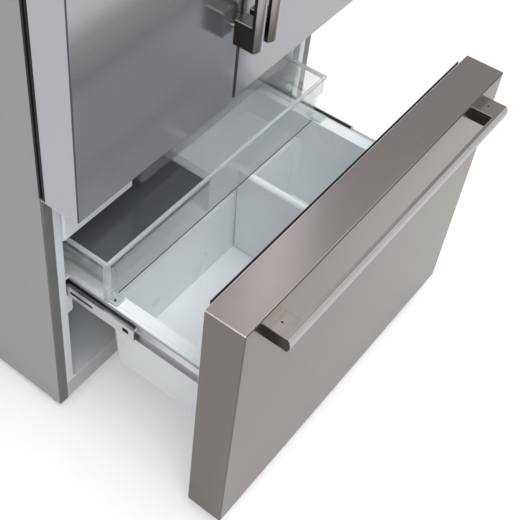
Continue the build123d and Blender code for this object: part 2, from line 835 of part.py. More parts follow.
def ring_gasket(x, z, back):
    """Soft seal round the edge of a door, with its magnet strip's step."""
    seal = block(x, (back, gasket_face), z)
    seal -= block((x[0] + gasket_width, x[1] - gasket_width), (back, gasket_face),
                  (z[0] + gasket_width, z[1] - gasket_width))
    step = block(x, (back + 2, gasket_face - 2), z)
    step -= block((x[0] + gasket_edge, x[1] - gasket_edge), (back, gasket_face),
                  (z[0] + gasket_edge, z[1] - gasket_edge))
    return seal - step


def door_gasket():
    x = (-half + side_flange - 3, -door_seam / 2 - 9)
    z = (door_bottom + 12, door_top - 22)
    return ring_gasket(x, z, door_thickness)


def handle_section():
    """Bar section in its own plane: u across the bar, v out from the door."""
    w = handle_width / 2
    shoulder = handle_reach - handle_bow
    lines = Polyline((-w, handle_post), (-w, shoulder))
    lines += ThreePointArc((-w, shoulder), (0, handle_reach), (w, shoulder))
    lines += Polyline((w, shoulder), (w, handle_post), (-w, handle_post))
    section = make_face(lines)
    for side in (-1, 1):
        section -= Pos(side * w, handle_post + 2.4) * Rectangle(2 * handle_groove, 1.2)
    return section


def door_handle():
    """Upright handle of the left door, its two posts held off the door by studs."""
    x = -handle_seam_offset - handle_width / 2
    back = -door_handle_standoff
    z = (door_bottom + door_handle_inset, door_top - door_handle_inset)
    section = Plane(origin=(x, back, z[0]), x_dir=(1, 0, 0), z_dir=(0, 0, 1)) * mirror(
        handle_section(), about=Plane.XZ)
    bar = extrude(section, z[1] - z[0], dir=(0, 0, 1))
    posts = []
    side = x - handle_width / 2
    for low in (z[0], z[1] - door_post_length):
        post = block((side, side + handle_width), (back - handle_post, back), (low, low + door_post_length))
        post = chamfer(post.edges().filter_by(Axis.Y), 0.8)
        outline = Plane.XZ * Pos(x, low + door_post_length / 2) * RegularPolygon(stud_radius, stud_sides)
        posts.append(post + extrude(outline, door_handle_standoff))
    return Compound([bar] + posts)


def drawer_handle():
    top = drawer_top - drawer_handle_drop
    reach = half - drawer_handle_inset
    section = Plane(origin=(-reach, 0, top - handle_width / 2), x_dir=(0, 0, 1),
                    z_dir=(1, 0, 0)) * handle_section()
    bar = extrude(section, 2 * reach, dir=(1, 0, 0))
    posts = []
    for low in (-reach, reach - drawer_post_length):
        post = block((low, low + drawer_post_length), (-handle_post, 0), (top - handle_width, top))
        post = chamfer(post.edges().filter_by(Axis.Y), 0.8)
        post -= upright(low + drawer_post_length / 2, -handle_post / 2.4, top - set_screw_depth, top + 1,
                        set_screw_radius)
        posts.append(post)
    return Compound([bar] + posts)


def door_bins():
    """Bottle bins between the dyke's side walls, evenly spaced up the door."""
    x = (dyke_x[0] + dyke_width + door_bin_side_gap, dyke_x[1] - dyke_width - door_bin_side_gap)
    y = (door_thickness + inner_panel, door_thickness + inner_panel + door_bin_depth)
    wall = door_bin_wall
    first = dyke_z[0] + first_bin_rise
    pitch = (dyke_z[1] - last_bin_drop - door_bin_height - first) / (bin_count - 1)
    bins = []
    for k in range(bin_count):
        low = first + k * pitch
        high = low + door_bin_height
        tub = chamfer(edges_at(block(x, y, (low, high)), Axis.Z, y=y[1]), door_bin_corner)
        hollow = block((x[0] + wall, x[1] - wall), (y[0] + wall, y[1] - wall), (low + wall, high))
        tub -= chamfer(edges_at(hollow, Axis.Z, y=y[1] - wall), door_bin_corner - wall / 2)
        tub -= block(x, (y[0], y[0] + wall), (low + door_bin_back * door_bin_height, high))
        bins.append(tub)
    return Compound(bins)


def flip_mullion():
    """Sealing bar on the left door's free edge, folded inwards about its upright pins."""
    r = mullion_thickness / 2
    far = mullion_axis_y + mullion_reach
    bar = block((mullion_axis_x - r, mullion_axis_x + r), (mullion_axis_y, far), mullion_z)
    nose = Pos(mullion_axis_x, mullion_axis_y, mullion_z[0]) * Rot(0, 0, 22.5) * RegularPolygon(r, 8)
    bar += extrude(nose, mullion_z[1] - mullion_z[0])
    bore = mullion_pin_radius + hinge_pin_clearance
    for low, high in ((mullion_z[0] - 1, mullion_z[0] + 16), (mullion_z[1] - 16, mullion_z[1] + 1)):
        bar -= upright(mullion_axis_x, mullion_axis_y, low, high, bore)
    return chamfer(edges_at(bar, Axis.Z, y=far), 3)


def mid_hinge():
    """Plate between door and drawer that carries the left door's lower pin."""
    low = drawer_top + (front_gap - hinge_plate) / 2
    high = low + hinge_plate
    y = (hinge_back - 14, front_y)
    plate = block((-half + 1, -half + mid_hinge_reach), y, (low, high))
    plate = chamfer(edges_at(plate, Axis.Z, y=y[0]), 8)
    plate += block((-half + 1, -half + 21), (front_y - hinge_plate, front_y), (low - mid_hinge_foot, high))
    return plate + upright(-hinge_x, hinge_back, high, door_bottom + hinge_pin_depth, hinge_pin_radius)


def top_hinge():
    """Plate on the case's roof that carries the left door's upper pin."""
    z = (case_height, case_height + top_hinge_plate)
    y = (hinge_back - 14, front_y + top_hinge_tail)
    plate = block((-half + 4, -half + top_hinge_reach), y, z)
    plate = chamfer(edges_at(plate, Axis.Z, y=y[0]), 12)
    plate -= block((-half + mid_hinge_reach, -half + top_hinge_reach + 1), (y[0], front_y + 8), z)
    return plate + upright(-hinge_x, hinge_back, door_top - hinge_pin_depth, z[0] + 1, hinge_pin_radius)


def hinge_cover():
    x = (-half + 0.5, -half + hinge_cover_reach)
    y = (hinge_back - 22, front_y + hinge_cover_tail)
    z = (case_height, case_height + hinge_cover_height)
    cover = block(x, y, z)
    cover = chamfer(cover.edges().filter_by(Axis.Z), 8)
    cover = chamfer(cover.edges().filter_by(lambda e: e.center().Z > z[1] - 0.01), 4)
    wall = hinge_cover_wall
    hollow = block((x[0] + wall, x[1] - wall), (y[0] + wall, y[1] - wall), (z[0], z[1] - wall - 2))
    return cover - chamfer(hollow.edges().filter_by(Axis.Z), 5)


# Freezer drawer
drawer_x = (-half, half)
drawer_z = (drawer_bottom, drawer_top)


def drawer_skin():
    return front_shell(drawer_x, (0, door_thickness - 1), drawer_z, front_edge_radius)


def drawer_liner():
    core = door_core(drawer_x, door_y, drawer_z, front_edge_radius)
    margin_side, margin_end, sink = 24.0, 30.0, 2.5
    wide = cavity_half - margin_side
    well = block((-wide, wide), (door_thickness - sink, door_thickness),
                 (freezer_floor + margin_end, rail_bottom - margin_end))
    return core - fillet(well.edges().filter_by(Axis.Y), 20)


def drawer_gasket():
    outer = half - side_flange + 1
    return ring_gasket((-outer, outer), (drawer_bottom + 20, drawer_top - 5), door_thickness)


def bin_tub(inset, top):
    """The bin's stepped tub, drawn in by inset from its outer faces."""
    wide = bin_rim_half - bin_rim_width + bin_wall - inset
    tub = None
    for rear, low in ((bin_low_rear_y, bin_bottom_z), (bin_rear_y, bin_step_z)):
        y = (bin_front_y + inset, rear - inset)
        floor = low + inset
        draw_in = (top - floor) * math.tan(math.radians(bin_draft))
        rings = []
        for height, shrink in ((floor, draw_in), (top, 0)):
            outline = Rectangle(2 * (wide - shrink), y[1] - y[0] - 2 * shrink)
            rings.append(Pos(0, (y[0] + y[1]) / 2, height) * rounded(outline, bin_corner - inset))
        piece = loft(rings, ruled=True)
        tub = piece if tub is None else tub + piece
    return tub


def freezer_bin():
    """Deep tub in front of the step and a shallow one over it, under one turned-down rim."""
    y = (bin_rim_front_y, bin_rim_rear_y)
    rim = block((-bin_rim_half, bin_rim_half), y, (bin_rim_z - bin_rim_lip, bin_rim_z))
    rim = fillet(rim.edges().filter_by(Axis.Z), rim_corner)
    under = block((-bin_rim_half + bin_wall, bin_rim_half - bin_wall), (y[0] + bin_wall, y[1] - bin_wall),
                  (bin_rim_z - bin_wall - bin_rim_lip, bin_rim_z - bin_wall))
    rim -= fillet(under.edges().filter_by(Axis.Z), rim_corner - bin_wall)
    for side in (-1, 1):
        strip = sorted((side * (bin_rim_half - 9), side * (bin_rim_half - 2)))
        rim -= block(strip, (y[0] + 12, y[1] - 12), (bin_rim_z - 1.6, bin_rim_z))
    return bin_tub(0, bin_rim_z - bin_wall / 2) + rim - bin_tub(bin_wall, bin_rim_z + 1)


def bin_divider():
    """Hollow wall across the deep tub, with a rounded top."""
    middle = divider_share * bin_rim_half
    clear = 2.0 + bin_wall
    y = (bin_front_y + clear, bin_low_rear_y - clear)
    z = (bin_bottom_z + bin_wall + 2.5, bin_rim_z)
    draw_in = (z[1] - z[0]) * math.tan(math.radians(bin_draft))
    outline = Polyline((y[0], z[1]), (y[1], z[1]), (y[1] - draw_in, z[0]), (y[0] + draw_in, z[0]), close=True)
    slab = Pos(middle, 0, 0) * extrude(Plane.YZ * make_face(outline), divider_thickness / 2, both=True)
    slab = fillet(slab.edges().filter_by(Axis.Y).sort_by(Axis.Z)[-2:], divider_thickness / 2 - 1)
    inner = divider_thickness / 2 - divider_wall
    end = draw_in + 6
    return slab - block((middle - inner, middle + inner), (y[0] + end, y[1] - end),
                        (z[0] - 1, z[1] - divider_thickness / 2 - 2))


# Slides, drawn for the left side
def channel(x_web, x_open, z, y):
    """A C-shaped rail with its web at x_web and its flanges reaching x_open."""
    rail = block(sorted((x_web, x_open)), y, z)
    web = slide_metal if x_open > x_web else -slide_metal
    return rail - block(sorted((x_web + web, x_open)), y, (z[0] + slide_metal, z[1] - slide_metal))


def slide_outer():
    y = (slide_front_y, slide_front_y + slide_length)
    return channel(slide_x, slide_x + slide_width / 2, (slide_bottom_z, slide_top_z), y)


def slide_middle():
    shift = slide_metal + slide_gap
    x_web = slide_x + shift
    front = slide_front_y + slide_middle_lag
    y = (front, front + slide_middle_length)
    z = (slide_bottom_z + shift, slide_top_z - shift)
    rail = channel(x_web, slide_x + slide_width - 2, z, y)
    middle_z = (z[0] + z[1]) / 2
    web = (x_web - 1, x_web + slide_metal + 0.5)
    rail -= block(web, (y[0] + 110, y[0] + 172), (middle_z - 4, middle_z + 4))
    rail -= block(web, (y[0] + 14, y[0] + 30), (middle_z - 5, middle_z + 7))
    strip_x = (slide_x + slide_width / 2 + slide_gap, slide_x + slide_width - 2)
    return Compound([rail, block(strip_x, (y[0] + 2, y[1] - 10), (z[1], z[1] + strip_height))])


def slide_inner():
    shift = 2 * (slide_metal + slide_gap)
    y = (slide_front_y, slide_front_y + slide_middle_length)
    return channel(arm_x, slide_x + slide_width / 2 - 2, (slide_bottom_z + shift, slide_top_z - shift), y)


def drawer_arm():
    """Bracket from the drawer front that carries the bin's rim, with a lug for the cross shaft."""
    inner = arm_x + arm_metal
    low, high = slide_bottom_z + 4, slide_top_z - 4
    lug_y = (shaft_y - lug_width / 2, shaft_y + lug_width / 2)
    lug_low = shaft_z - lug_drop
    arm = block((arm_x, inner), (door_thickness, lug_y[1]), (low, high))
    shelf_top = bin_rim_z - bin_rim_lip - seat_gap
    arm += block((inner - 1, inner + arm_shelf), (door_thickness, bin_rim_rear_y), (shelf_top - 2, shelf_top))
    arm += block((arm_x, inner + arm_foot), (door_thickness, door_thickness + 3), (low - 14, high))
    arm += block((arm_x, inner), lug_y, (lug_low, low + 1))
    arm = chamfer(edges_at(arm, Axis.X, z=lug_low), 8)
    return arm - crossways(arm_x - 1, inner + 1, shaft_y, shaft_z, shaft_radius + shaft_clearance)


def slide_mount_block(y_low, z_low):
    """Plastic block that holds the outer rail off the freezer's side wall."""
    x = (-cavity_half, slide_x + slide_width - 1.5)
    y = (y_low, y_low + mount_block_length)
    piece = block(x, y, (z_low, slide_top_z + mount_block_top))
    piece = chamfer(edges_at(piece, Axis.Y, x=x[1]), 3)
    slot_top = slide_top_z + mount_block_top - mount_block_flange
    return piece - block((slide_x, x[1]), y, (slide_bottom_z, slot_top))


front_block_y = slide_front_y - 1
rear_block_y = slide_front_y + slide_length - 3


def slide_mount_blocks():
    """One block at each end of a rail; the rear one stops short of the rack below it."""
    low = slide_bottom_z - mount_block_drop
    front = slide_mount_block(front_block_y, low)
    recess_x = (-cavity_half + 5, slide_x + slide_width - 5.5)
    front -= block(recess_x, (front_block_y, front_block_y + 6), (low + 8, slide_bottom_z - 8))
    rear = slide_mount_block(rear_block_y, rack_top_z + 2)
    return Compound([front, rear, mirrored(front), mirrored(rear)])


# Rack and pinion
rack_x = (-cavity_half, -cavity_half + rack_width)


def sync_rack():
    """Toothed strip under the slide, with a gap between teeth right above the shaft at rest."""
    y = (front_block_y + mount_block_length + 1, shaft_y + rack_end)
    rest_y = shaft_y - drawer_open
    slope = math.tan(math.radians(pressure_angle))
    tip = rack_pitch_z - rack_addendum
    root = rack_pitch_z + 1.2 * gear_module
    half_tooth = tooth_pitch / 4 - tooth_backlash
    half_tip = half_tooth - (rack_pitch_z - tip) * slope
    half_root = half_tooth + (root - rack_pitch_z) * slope
    first = math.ceil((y[0] + half_root - rest_y) / tooth_pitch - 0.5)
    last = math.floor((y[1] - half_root - rest_y) / tooth_pitch - 0.5)
    outline = [(y[0], rack_top_z), (y[0], root)]
    for k in range(first, last + 1):
        middle = rest_y + (k + 0.5) * tooth_pitch
        outline += [(middle - half_root, root), (middle - half_tip, tip), (middle + half_tip, tip),
                    (middle + half_root, root)]
    outline += [(y[1], root), (y[1], rack_top_z)]
    face = Plane.YZ.offset(rack_x[0]) * make_face(Polyline(*outline, close=True))
    return extrude(face, rack_width)


def pinion(x_low):
    """Spur gear with involute flanks and one tooth pointing straight up at rest."""
    r = pinion_pitch_radius
    base = r * math.cos(math.radians(pressure_angle))
    tip = r + gear_module
    root = r - 1.25 * gear_module

    def roll(radius):
        turn = math.sqrt(max((radius / base) ** 2 - 1, 0))
        return turn - math.atan(turn)

    half_tooth = (tooth_pitch / 4 - tooth_backlash) / r + roll(r)
    radii = [base, r, tip]
    outline = []
    for k in range(pinion_teeth):
        middle = 2 * math.pi * k / pinion_teeth
        rising = [(radius, middle + half_tooth - roll(radius)) for radius in radii]
        falling = [(radius, middle - half_tooth + roll(radius)) for radius in reversed(radii)]
        foot = half_tooth - 0.02
        ring = [(root, middle + foot)] + rising + falling + [(root, middle - foot)]
        outline += [(radius * math.sin(-angle), radius * math.cos(angle)) for radius, angle in reversed(ring)]
    face = Plane.YZ.offset(x_low) * (Pos(shaft_y, shaft_z) * make_face(Polyline(*outline, close=True)))
    return extrude(face, pinion_width, dir=(1, 0, 0))


def sync_shaft():
    reach = -rack_x[1] + pinion_width + 0.5
    shaft = crossways(-reach, reach, shaft_y, shaft_z, shaft_radius)
    left = pinion(-reach)
    return shaft + left + mirrored(left)


# Tray
def tray_shell():
    """Clear walls that stand on the bin's rim: a ledge for the dark panel at the left, a tub at the right."""
    y = (tray_front_y, tray_front_y + tray_depth)
    foot = bin_rim_z + seat_gap
    shell = block((-tray_foot_half, tray_foot_half), y, (foot, tray_step_z))
    shell += block((-tray_half, tray_half), y, (tray_step_z, tray_top_z))
    shell = fillet(edges_at(shell, Axis.Z, x=-tray_half) + edges_at(shell, Axis.Z, x=tray_half), 5)
    w = tray_wall
    within = (y[0] + w, y[1] - w)
    left_end = tray_split_x - w
    shell -= block((-tray_foot_half + w, left_end), within, (foot - 1, tray_step_z + w))
    ledge = tray_floor_z - tray_floor_thickness
    shell -= block((-tray_half + w, left_end), within, (tray_step_z + w, ledge - w))
    rim = w + tray_ledge
    window = (-tray_half + rim, left_end - tray_ledge)
    shell -= block(window, (y[0] + rim, y[1] - rim), (ledge - w - 1, ledge))
    shell -= block((-tray_half + w, left_end), within, (ledge, tray_top_z + 1))
    shell -= block((tray_split_x, tray_foot_half - w), within, (foot + w, tray_step_z + w))
    shell -= block((tray_split_x, tray_half - w), within, (tray_step_z + w, tray_top_z + 1))
    toe = block((-bin_rim_half + 10, -tray_foot_half + w), (y[0] - 12, y[0] + 22), (foot, foot + 2.5))
    return shell + toe + mirrored(toe)


def tray_panel():
    x = (-tray_half + tray_wall + seat_gap, tray_split_x - tray_wall - seat_gap)
    y = (tray_front_y + tray_wall + seat_gap, tray_front_y + tray_depth - tray_wall - seat_gap)
    return block(x, y, (tray_floor_z - tray_floor_thickness, tray_floor_z))


# Ice maker and basket
def ice_maker_housing():
    """Box over the tray with the ice mould inside, open below where the ice drops out."""
    x, y, z, wall = ice_box_x, ice_box_y, ice_box_z, ice_box_wall
    box = block(x, y, z)
    box = fillet(edges_at(box, Axis.Y, x=x[0], z=z[1]), liner_corner)
    box = chamfer(edges_at(box, Axis.Z, y=y[0]) + edges_at(box, Axis.X, y=y[0], z=z[0]), 5)
    box -= block((x[0] + wall, x[1] - wall), (y[0] + wall, y[1] - wall), (z[0] + wall, z[1] - wall))
    box -= block((x[0] + 22, x[1] - 22), (y[0] + 60, y[1] - 80), (z[0], z[0] + wall + 1))
    mould_y = (y[0] + 90, y[1] - 110)
    mould_z = [z[0] + share * (z[1] - z[0]) for share in mould_shares]
    mould = block((x[0] + wall - 1, x[1] - wall + 1), mould_y, mould_z)
    cup_count = 4
    rim = 8.0
    pitch = (mould_y[1] - mould_y[0] - rim) / cup_count
    for k in range(cup_count):
        cup = mould_y[0] + rim + k * pitch
        mould -= block((x[0] + 20, x[1] - 20), (cup, cup + pitch - rim), (mould_z[0] + rim, mould_z[1]))
    rail = block((x[1], x[1] + basket_flange + 5), (y[0] + 14, basket_y[1]), ledge_z)
    return box + mould + rail


def upper_basket():
    x, y, z, w = basket_x, basket_y, basket_z, basket_wall
    tub = block(x, y, z)
    tub = fillet(tub.edges().filter_by(Axis.Y).sort_by(Axis.Z)[:2], basket_corner)
    hollow = block((x[0] + w, x[1] - w), (y[0] + w, y[1] - w), (z[0] + w, z[1] + 1))
    tub -= fillet(hollow.edges().filter_by(Axis.Y).sort_by(Axis.Z)[:2], basket_corner - w)
    tub += block((x[0] - basket_flange, x[0] + w), (y[0] + 16, y[1]), (z[1] - w + seat_gap, z[1]))
    return tub + block((x[1] - w, x[1] + basket_flange), (y[0] + 16, y[1]), (z[1] - w + seat_gap, z[1]))


nodes = {
    "side_panel_left": side_panel(),
    "side_panel_right": mirrored(side_panel()),
    "top_panel": top_panel(),
    "back_panel": back_panel(),
    "machine_cover": machine_cover(),
    "foam_insulation": foam_insulation(),
    "fridge_liner": fridge_liner(),
    "freezer_liner": freezer_liner(),
    "mid_rail": mid_rail(),
    "base_frame": base_frame(),
    "toe_panel": toe_panel(),
    "levelling_feet": levelling_feet(),
    "rear_rollers": rear_rollers(),
    "compressor": compressor(),
    "condenser": condenser(),
    "condenser_fan": condenser_fan(),
    "evaporator": evaporator(),
    "evaporator_cover": evaporator_cover(),
    "evaporator_fan": evaporator_fan(),
    "fridge_duct_cover": fridge_duct_cover(),
    "shelf_frames": Compound([shelf_frame(lower_shelf_z), shelf_frame(upper_shelf_z)]),
    "lower_shelf_glass": shelf_pane(lower_shelf_z),
    "upper_shelf_glass": shelf_pane(upper_shelf_z),
    "crisper_frame": crisper_frame(),
    "crisper_cover_glass": crisper_cover_glass(),
    "crisper_left": crisper(),
    "crisper_right": mirrored(crisper()),
    "top_hinges": both_sides(top_hinge()),
    "mid_hinges": both_sides(mid_hinge()),
    "hinge_covers": both_sides(hinge_cover()),
    "left_door_skin": door_skin(),
    "left_door_liner": door_liner(True),
    "left_door_gasket": door_gasket(),
    "left_door_handle": door_handle(),
    "left_door_bins": door_bins(),
    "flip_mullion": flip_mullion(),
    "right_door_skin": mirrored(door_skin()),
    "right_door_liner": mirrored(door_liner(False)),
    "right_door_gasket": mirrored(door_gasket()),
    "right_door_handle": mirrored(door_handle()),
    "right_door_bins": mirrored(door_bins()),
    "ice_maker_housing": ice_maker_housing(),
    "upper_basket": upper_basket(),
    "slide_outer_rails": both_sides(slide_outer()),
    "slide_mount_blocks": slide_mount_blocks(),
    "sync_racks": both_sides(sync_rack()),
    "slide_middle_left": Pos(0, -drawer_open / 2, 0) * slide_middle(),
    "slide_middle_right": Pos(0, -drawer_open / 2, 0) * mirrored(slide_middle()),
    "slide_inner_rails": opened(both_sides(slide_inner())),
    "drawer_skin": opened(drawer_skin()),
    "drawer_liner": opened(drawer_liner()),
    "drawer_gasket": opened(drawer_gasket()),
    "drawer_handle": opened(drawer_handle()),
    "drawer_arms": opened(both_sides(drawer_arm())),
    "freezer_bin": opened(freezer_bin()),
    "bin_divider": opened(bin_divider()),
    "sync_shaft": opened(sync_shaft()),
    "tray_shell": opened(tray_shell()),
    "tray_panel": opened(tray_panel()),
}

for name, shape in nodes.items():
    export_step(Pos(0, frame_y, 0) * shape, f"parts/{name}.step")

print("frame_y", frame_y, "height", overall_height, "nodes", len(nodes))
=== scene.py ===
import bpy
import math
from mathutils import Matrix, Vector


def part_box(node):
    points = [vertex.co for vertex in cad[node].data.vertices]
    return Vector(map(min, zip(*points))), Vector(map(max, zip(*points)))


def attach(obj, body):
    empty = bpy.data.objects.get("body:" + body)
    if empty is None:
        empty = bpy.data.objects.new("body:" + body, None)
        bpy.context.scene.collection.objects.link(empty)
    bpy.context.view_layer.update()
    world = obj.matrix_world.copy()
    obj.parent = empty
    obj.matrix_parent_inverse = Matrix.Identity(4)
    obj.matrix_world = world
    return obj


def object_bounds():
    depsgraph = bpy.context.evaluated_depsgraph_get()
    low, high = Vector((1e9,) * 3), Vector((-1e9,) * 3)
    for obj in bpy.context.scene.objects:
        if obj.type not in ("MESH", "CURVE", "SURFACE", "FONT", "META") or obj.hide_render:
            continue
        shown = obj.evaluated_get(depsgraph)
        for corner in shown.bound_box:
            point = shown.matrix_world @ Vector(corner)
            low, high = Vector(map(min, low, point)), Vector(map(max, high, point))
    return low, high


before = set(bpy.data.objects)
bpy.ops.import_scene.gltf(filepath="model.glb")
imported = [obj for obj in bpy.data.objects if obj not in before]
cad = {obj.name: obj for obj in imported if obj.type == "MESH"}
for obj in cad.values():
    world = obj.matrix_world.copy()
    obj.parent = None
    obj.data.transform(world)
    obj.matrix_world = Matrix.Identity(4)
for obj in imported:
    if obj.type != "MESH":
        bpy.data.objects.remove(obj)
cadBox = [list(corner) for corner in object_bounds()]
scene = bpy.context.scene
bpy.ops.object.select_all(action="DESELECT")
print("frame loaded:", len(cad), "CAD pieces")


# Camera

cameraSetup = {
    "place": (-1.29858, -1.01996, 2.03088),
    "azimuth": -53.3507,  # 0 looks along +Y
    "elevation": 49.2777,
    "roll": 3.2952,
    "lens": 70.1878,
    "shiftX": 0.14825,  # the photograph is cropped, so its centre is off the lens axis
    "shiftY": -0.01136,
    "clip": (0.05, 60.0),
}


def addCamera(setup):
    data = bpy.data.cameras.new("photoCamera")
    data.lens = setup["lens"]
    data.shift_x = setup["shiftX"]
    data.shift_y = setup["shiftY"]
    data.clip_start, data.clip_end = setup["clip"]
    camera = bpy.data.objects.new("photoCamera", data)
    scene.collection.objects.link(camera)
    turn = Matrix.Rotation(math.radians(setup["azimuth"]), 4, "Z")
    turn @= Matrix.Rotation(math.radians(90 - setup["elevation"]), 4, "X")
    turn @= Matrix.Rotation(math.radians(setup["roll"]), 4, "Z")
    camera.matrix_world = Matrix.Translation(setup["place"]) @ turn
    scene.camera = camera


addCamera(cameraSetup)
print("camera placed")


# Node helpers

def linear(red, green, blue):
    # screen values 0 to 255 turned into the linear colour that the shader wants
    def one(c):
        c /= 255
        return c / 12.92 if c <= 0.04045 else ((c + 0.055) / 1.055) ** 2.4
    return (one(red), one(green), one(blue), 1.0)


def scaled(colour, factor):
    return tuple(min(1.0, c * factor) for c in colour[:3]) + (1.0,)


def newMaterial(name):
    made = bpy.data.materials.new(name)
    made.use_nodes = True
    tree = made.node_tree
    return made, tree, tree.nodes["Principled BSDF"]


def plug(tree, socket, value):
    if isinstance(value, bpy.types.NodeSocket):
        tree.links.new(value, socket)
    else:
        socket.default_value = value


def addNode(tree, kind, settings=None, **inputs):
    node = tree.nodes.new(kind)
    for key, value in (settings or {}).items():
        setattr(node, key, value)
    for key, value in inputs.items():
        plug(tree, node.inputs[key], value)
    return node


def maths(tree, operation, first, second=0.0):
    node = addNode(tree, "ShaderNodeMath", {"operation": operation})
    plug(tree, node.inputs[0], first)
    plug(tree, node.inputs[1], second)
    return node.outputs[0]


def mixed(tree, factor, first, second, blend="MIX"):
    # two colours
    node = addNode(tree, "ShaderNodeMix", {"data_type": "RGBA", "blend_type": blend})
    plug(tree, node.inputs[0], factor)
    plug(tree, node.inputs[6], first)
    plug(tree, node.inputs[7], second)
    return node.outputs[2]


def mixedNumber(tree, factor, first, second):
    node = addNode(tree, "ShaderNodeMix", {"data_type": "FLOAT"})
    plug(tree, node.inputs[0], factor)
    plug(tree, node.inputs[2], first)
    plug(tree, node.inputs[3], second)
    return node.outputs[0]


def axesOf(tree, kind):
    # x, y and z of the place ("Object") or of the normal ("Normal"), both fixed to the object
    source = addNode(tree, "ShaderNodeTexCoord").outputs[kind]
    split = addNode(tree, "ShaderNodeSeparateXYZ", Vector=source)
    return split.outputs["X"], split.outputs["Y"], split.outputs["Z"]


def noiseOn(tree, scale, stretch=(1, 1, 1), detail=2.0):
    place = addNode(tree, "ShaderNodeTexCoord").outputs["Object"]
    mapping = addNode(tree, "ShaderNodeMapping", Vector=place, Scale=stretch)
    noise = addNode(tree, "ShaderNodeTexNoise", Vector=mapping.outputs["Vector"], Scale=scale, Detail=detail)
    return noise.outputs["Fac"]


def remap(tree, value, low, high, fromLow=0.3, fromHigh=0.7):
    # noise lies mostly between 0.3 and 0.7
    node = addNode(tree, "ShaderNodeMapRange", Value=value)
    node.inputs["From Min"].default_value = fromLow
    node.inputs["From Max"].default_value = fromHigh
    node.inputs["To Min"].default_value = low
    node.inputs["To Max"].default_value = high
    return node.outputs["Result"]


def uneven(tree, noise, look):
    # the finish's colour, a little darker and lighter from place to place
    darker, lighter = [scaled(look["colour"], factor) for factor in look["spread"]]
    return mixed(tree, remap(tree, noise, 0.0, 1.0), darker, lighter)


def dress(tree, shader, colour, rough):
    tree.links.new(colour, shader.inputs["Base Color"])
    tree.links.new(rough, shader.inputs["Roughness"])


def bump(tree, shader, height, look):
    distance, strength = look["bump"]
    node = addNode(tree, "ShaderNodeBump", Height=height, Distance=distance, Strength=strength)
    tree.links.new(node.outputs["Normal"], shader.inputs["Normal"])


# Finishes

# what all finishes of one kind share; scales are in cells per metre, depths and widths in metres
kinds = {
    # for steel, turn and flat are the normal thresholds where the painted side, top and edge tones take over
    "steel": {"along": 9.0, "across": 2100.0, "cloud": 2.2, "turn": (0.62, 0.80), "flat": (0.955, 0.985),
              "scratchTone": (0.95, 1.03), "cloudTone": (-0.02, 0.02), "metal": 1.0, "bump": (0.00002, 0.2)},
    "moulded": {"cloud": 6.0, "spread": (0.97, 1.01), "specular": 0.45, "bump": (0.00004, 0.2)},
    "paint": {"peel": 420.0, "cloud": 4.0, "spread": (0.96, 1.03), "bump": (0.00008, 0.25)},
    "case": {"peel": 420.0, "cloud": 3.0, "spread": (0.97, 1.02), "bump": (0.00008, 0.25)},
    "rubber": {"grain": 1200.0, "cloud": 60.0, "spread": (0.85, 1.2), "bump": (0.00006, 0.3)},
    "clear": {"cloud": 5.0, "spread": (0.985, 1.0), "index": 1.46},
    "bright": {"flow": (12, 12, 160), "spread": (0.90, 1.04), "index": 1.46},
    "gloss": {"cloud": 9.0, "spread": (0.93, 1.05)},
    "zinc": {"draw": (700, 3, 700), "spangle": 60.0, "spread": (0.96, 1.0), "rough": (0.30, 0.38),
             "black": linear(24, 24, 25), "bump": (0.00001, 0.1)},
}
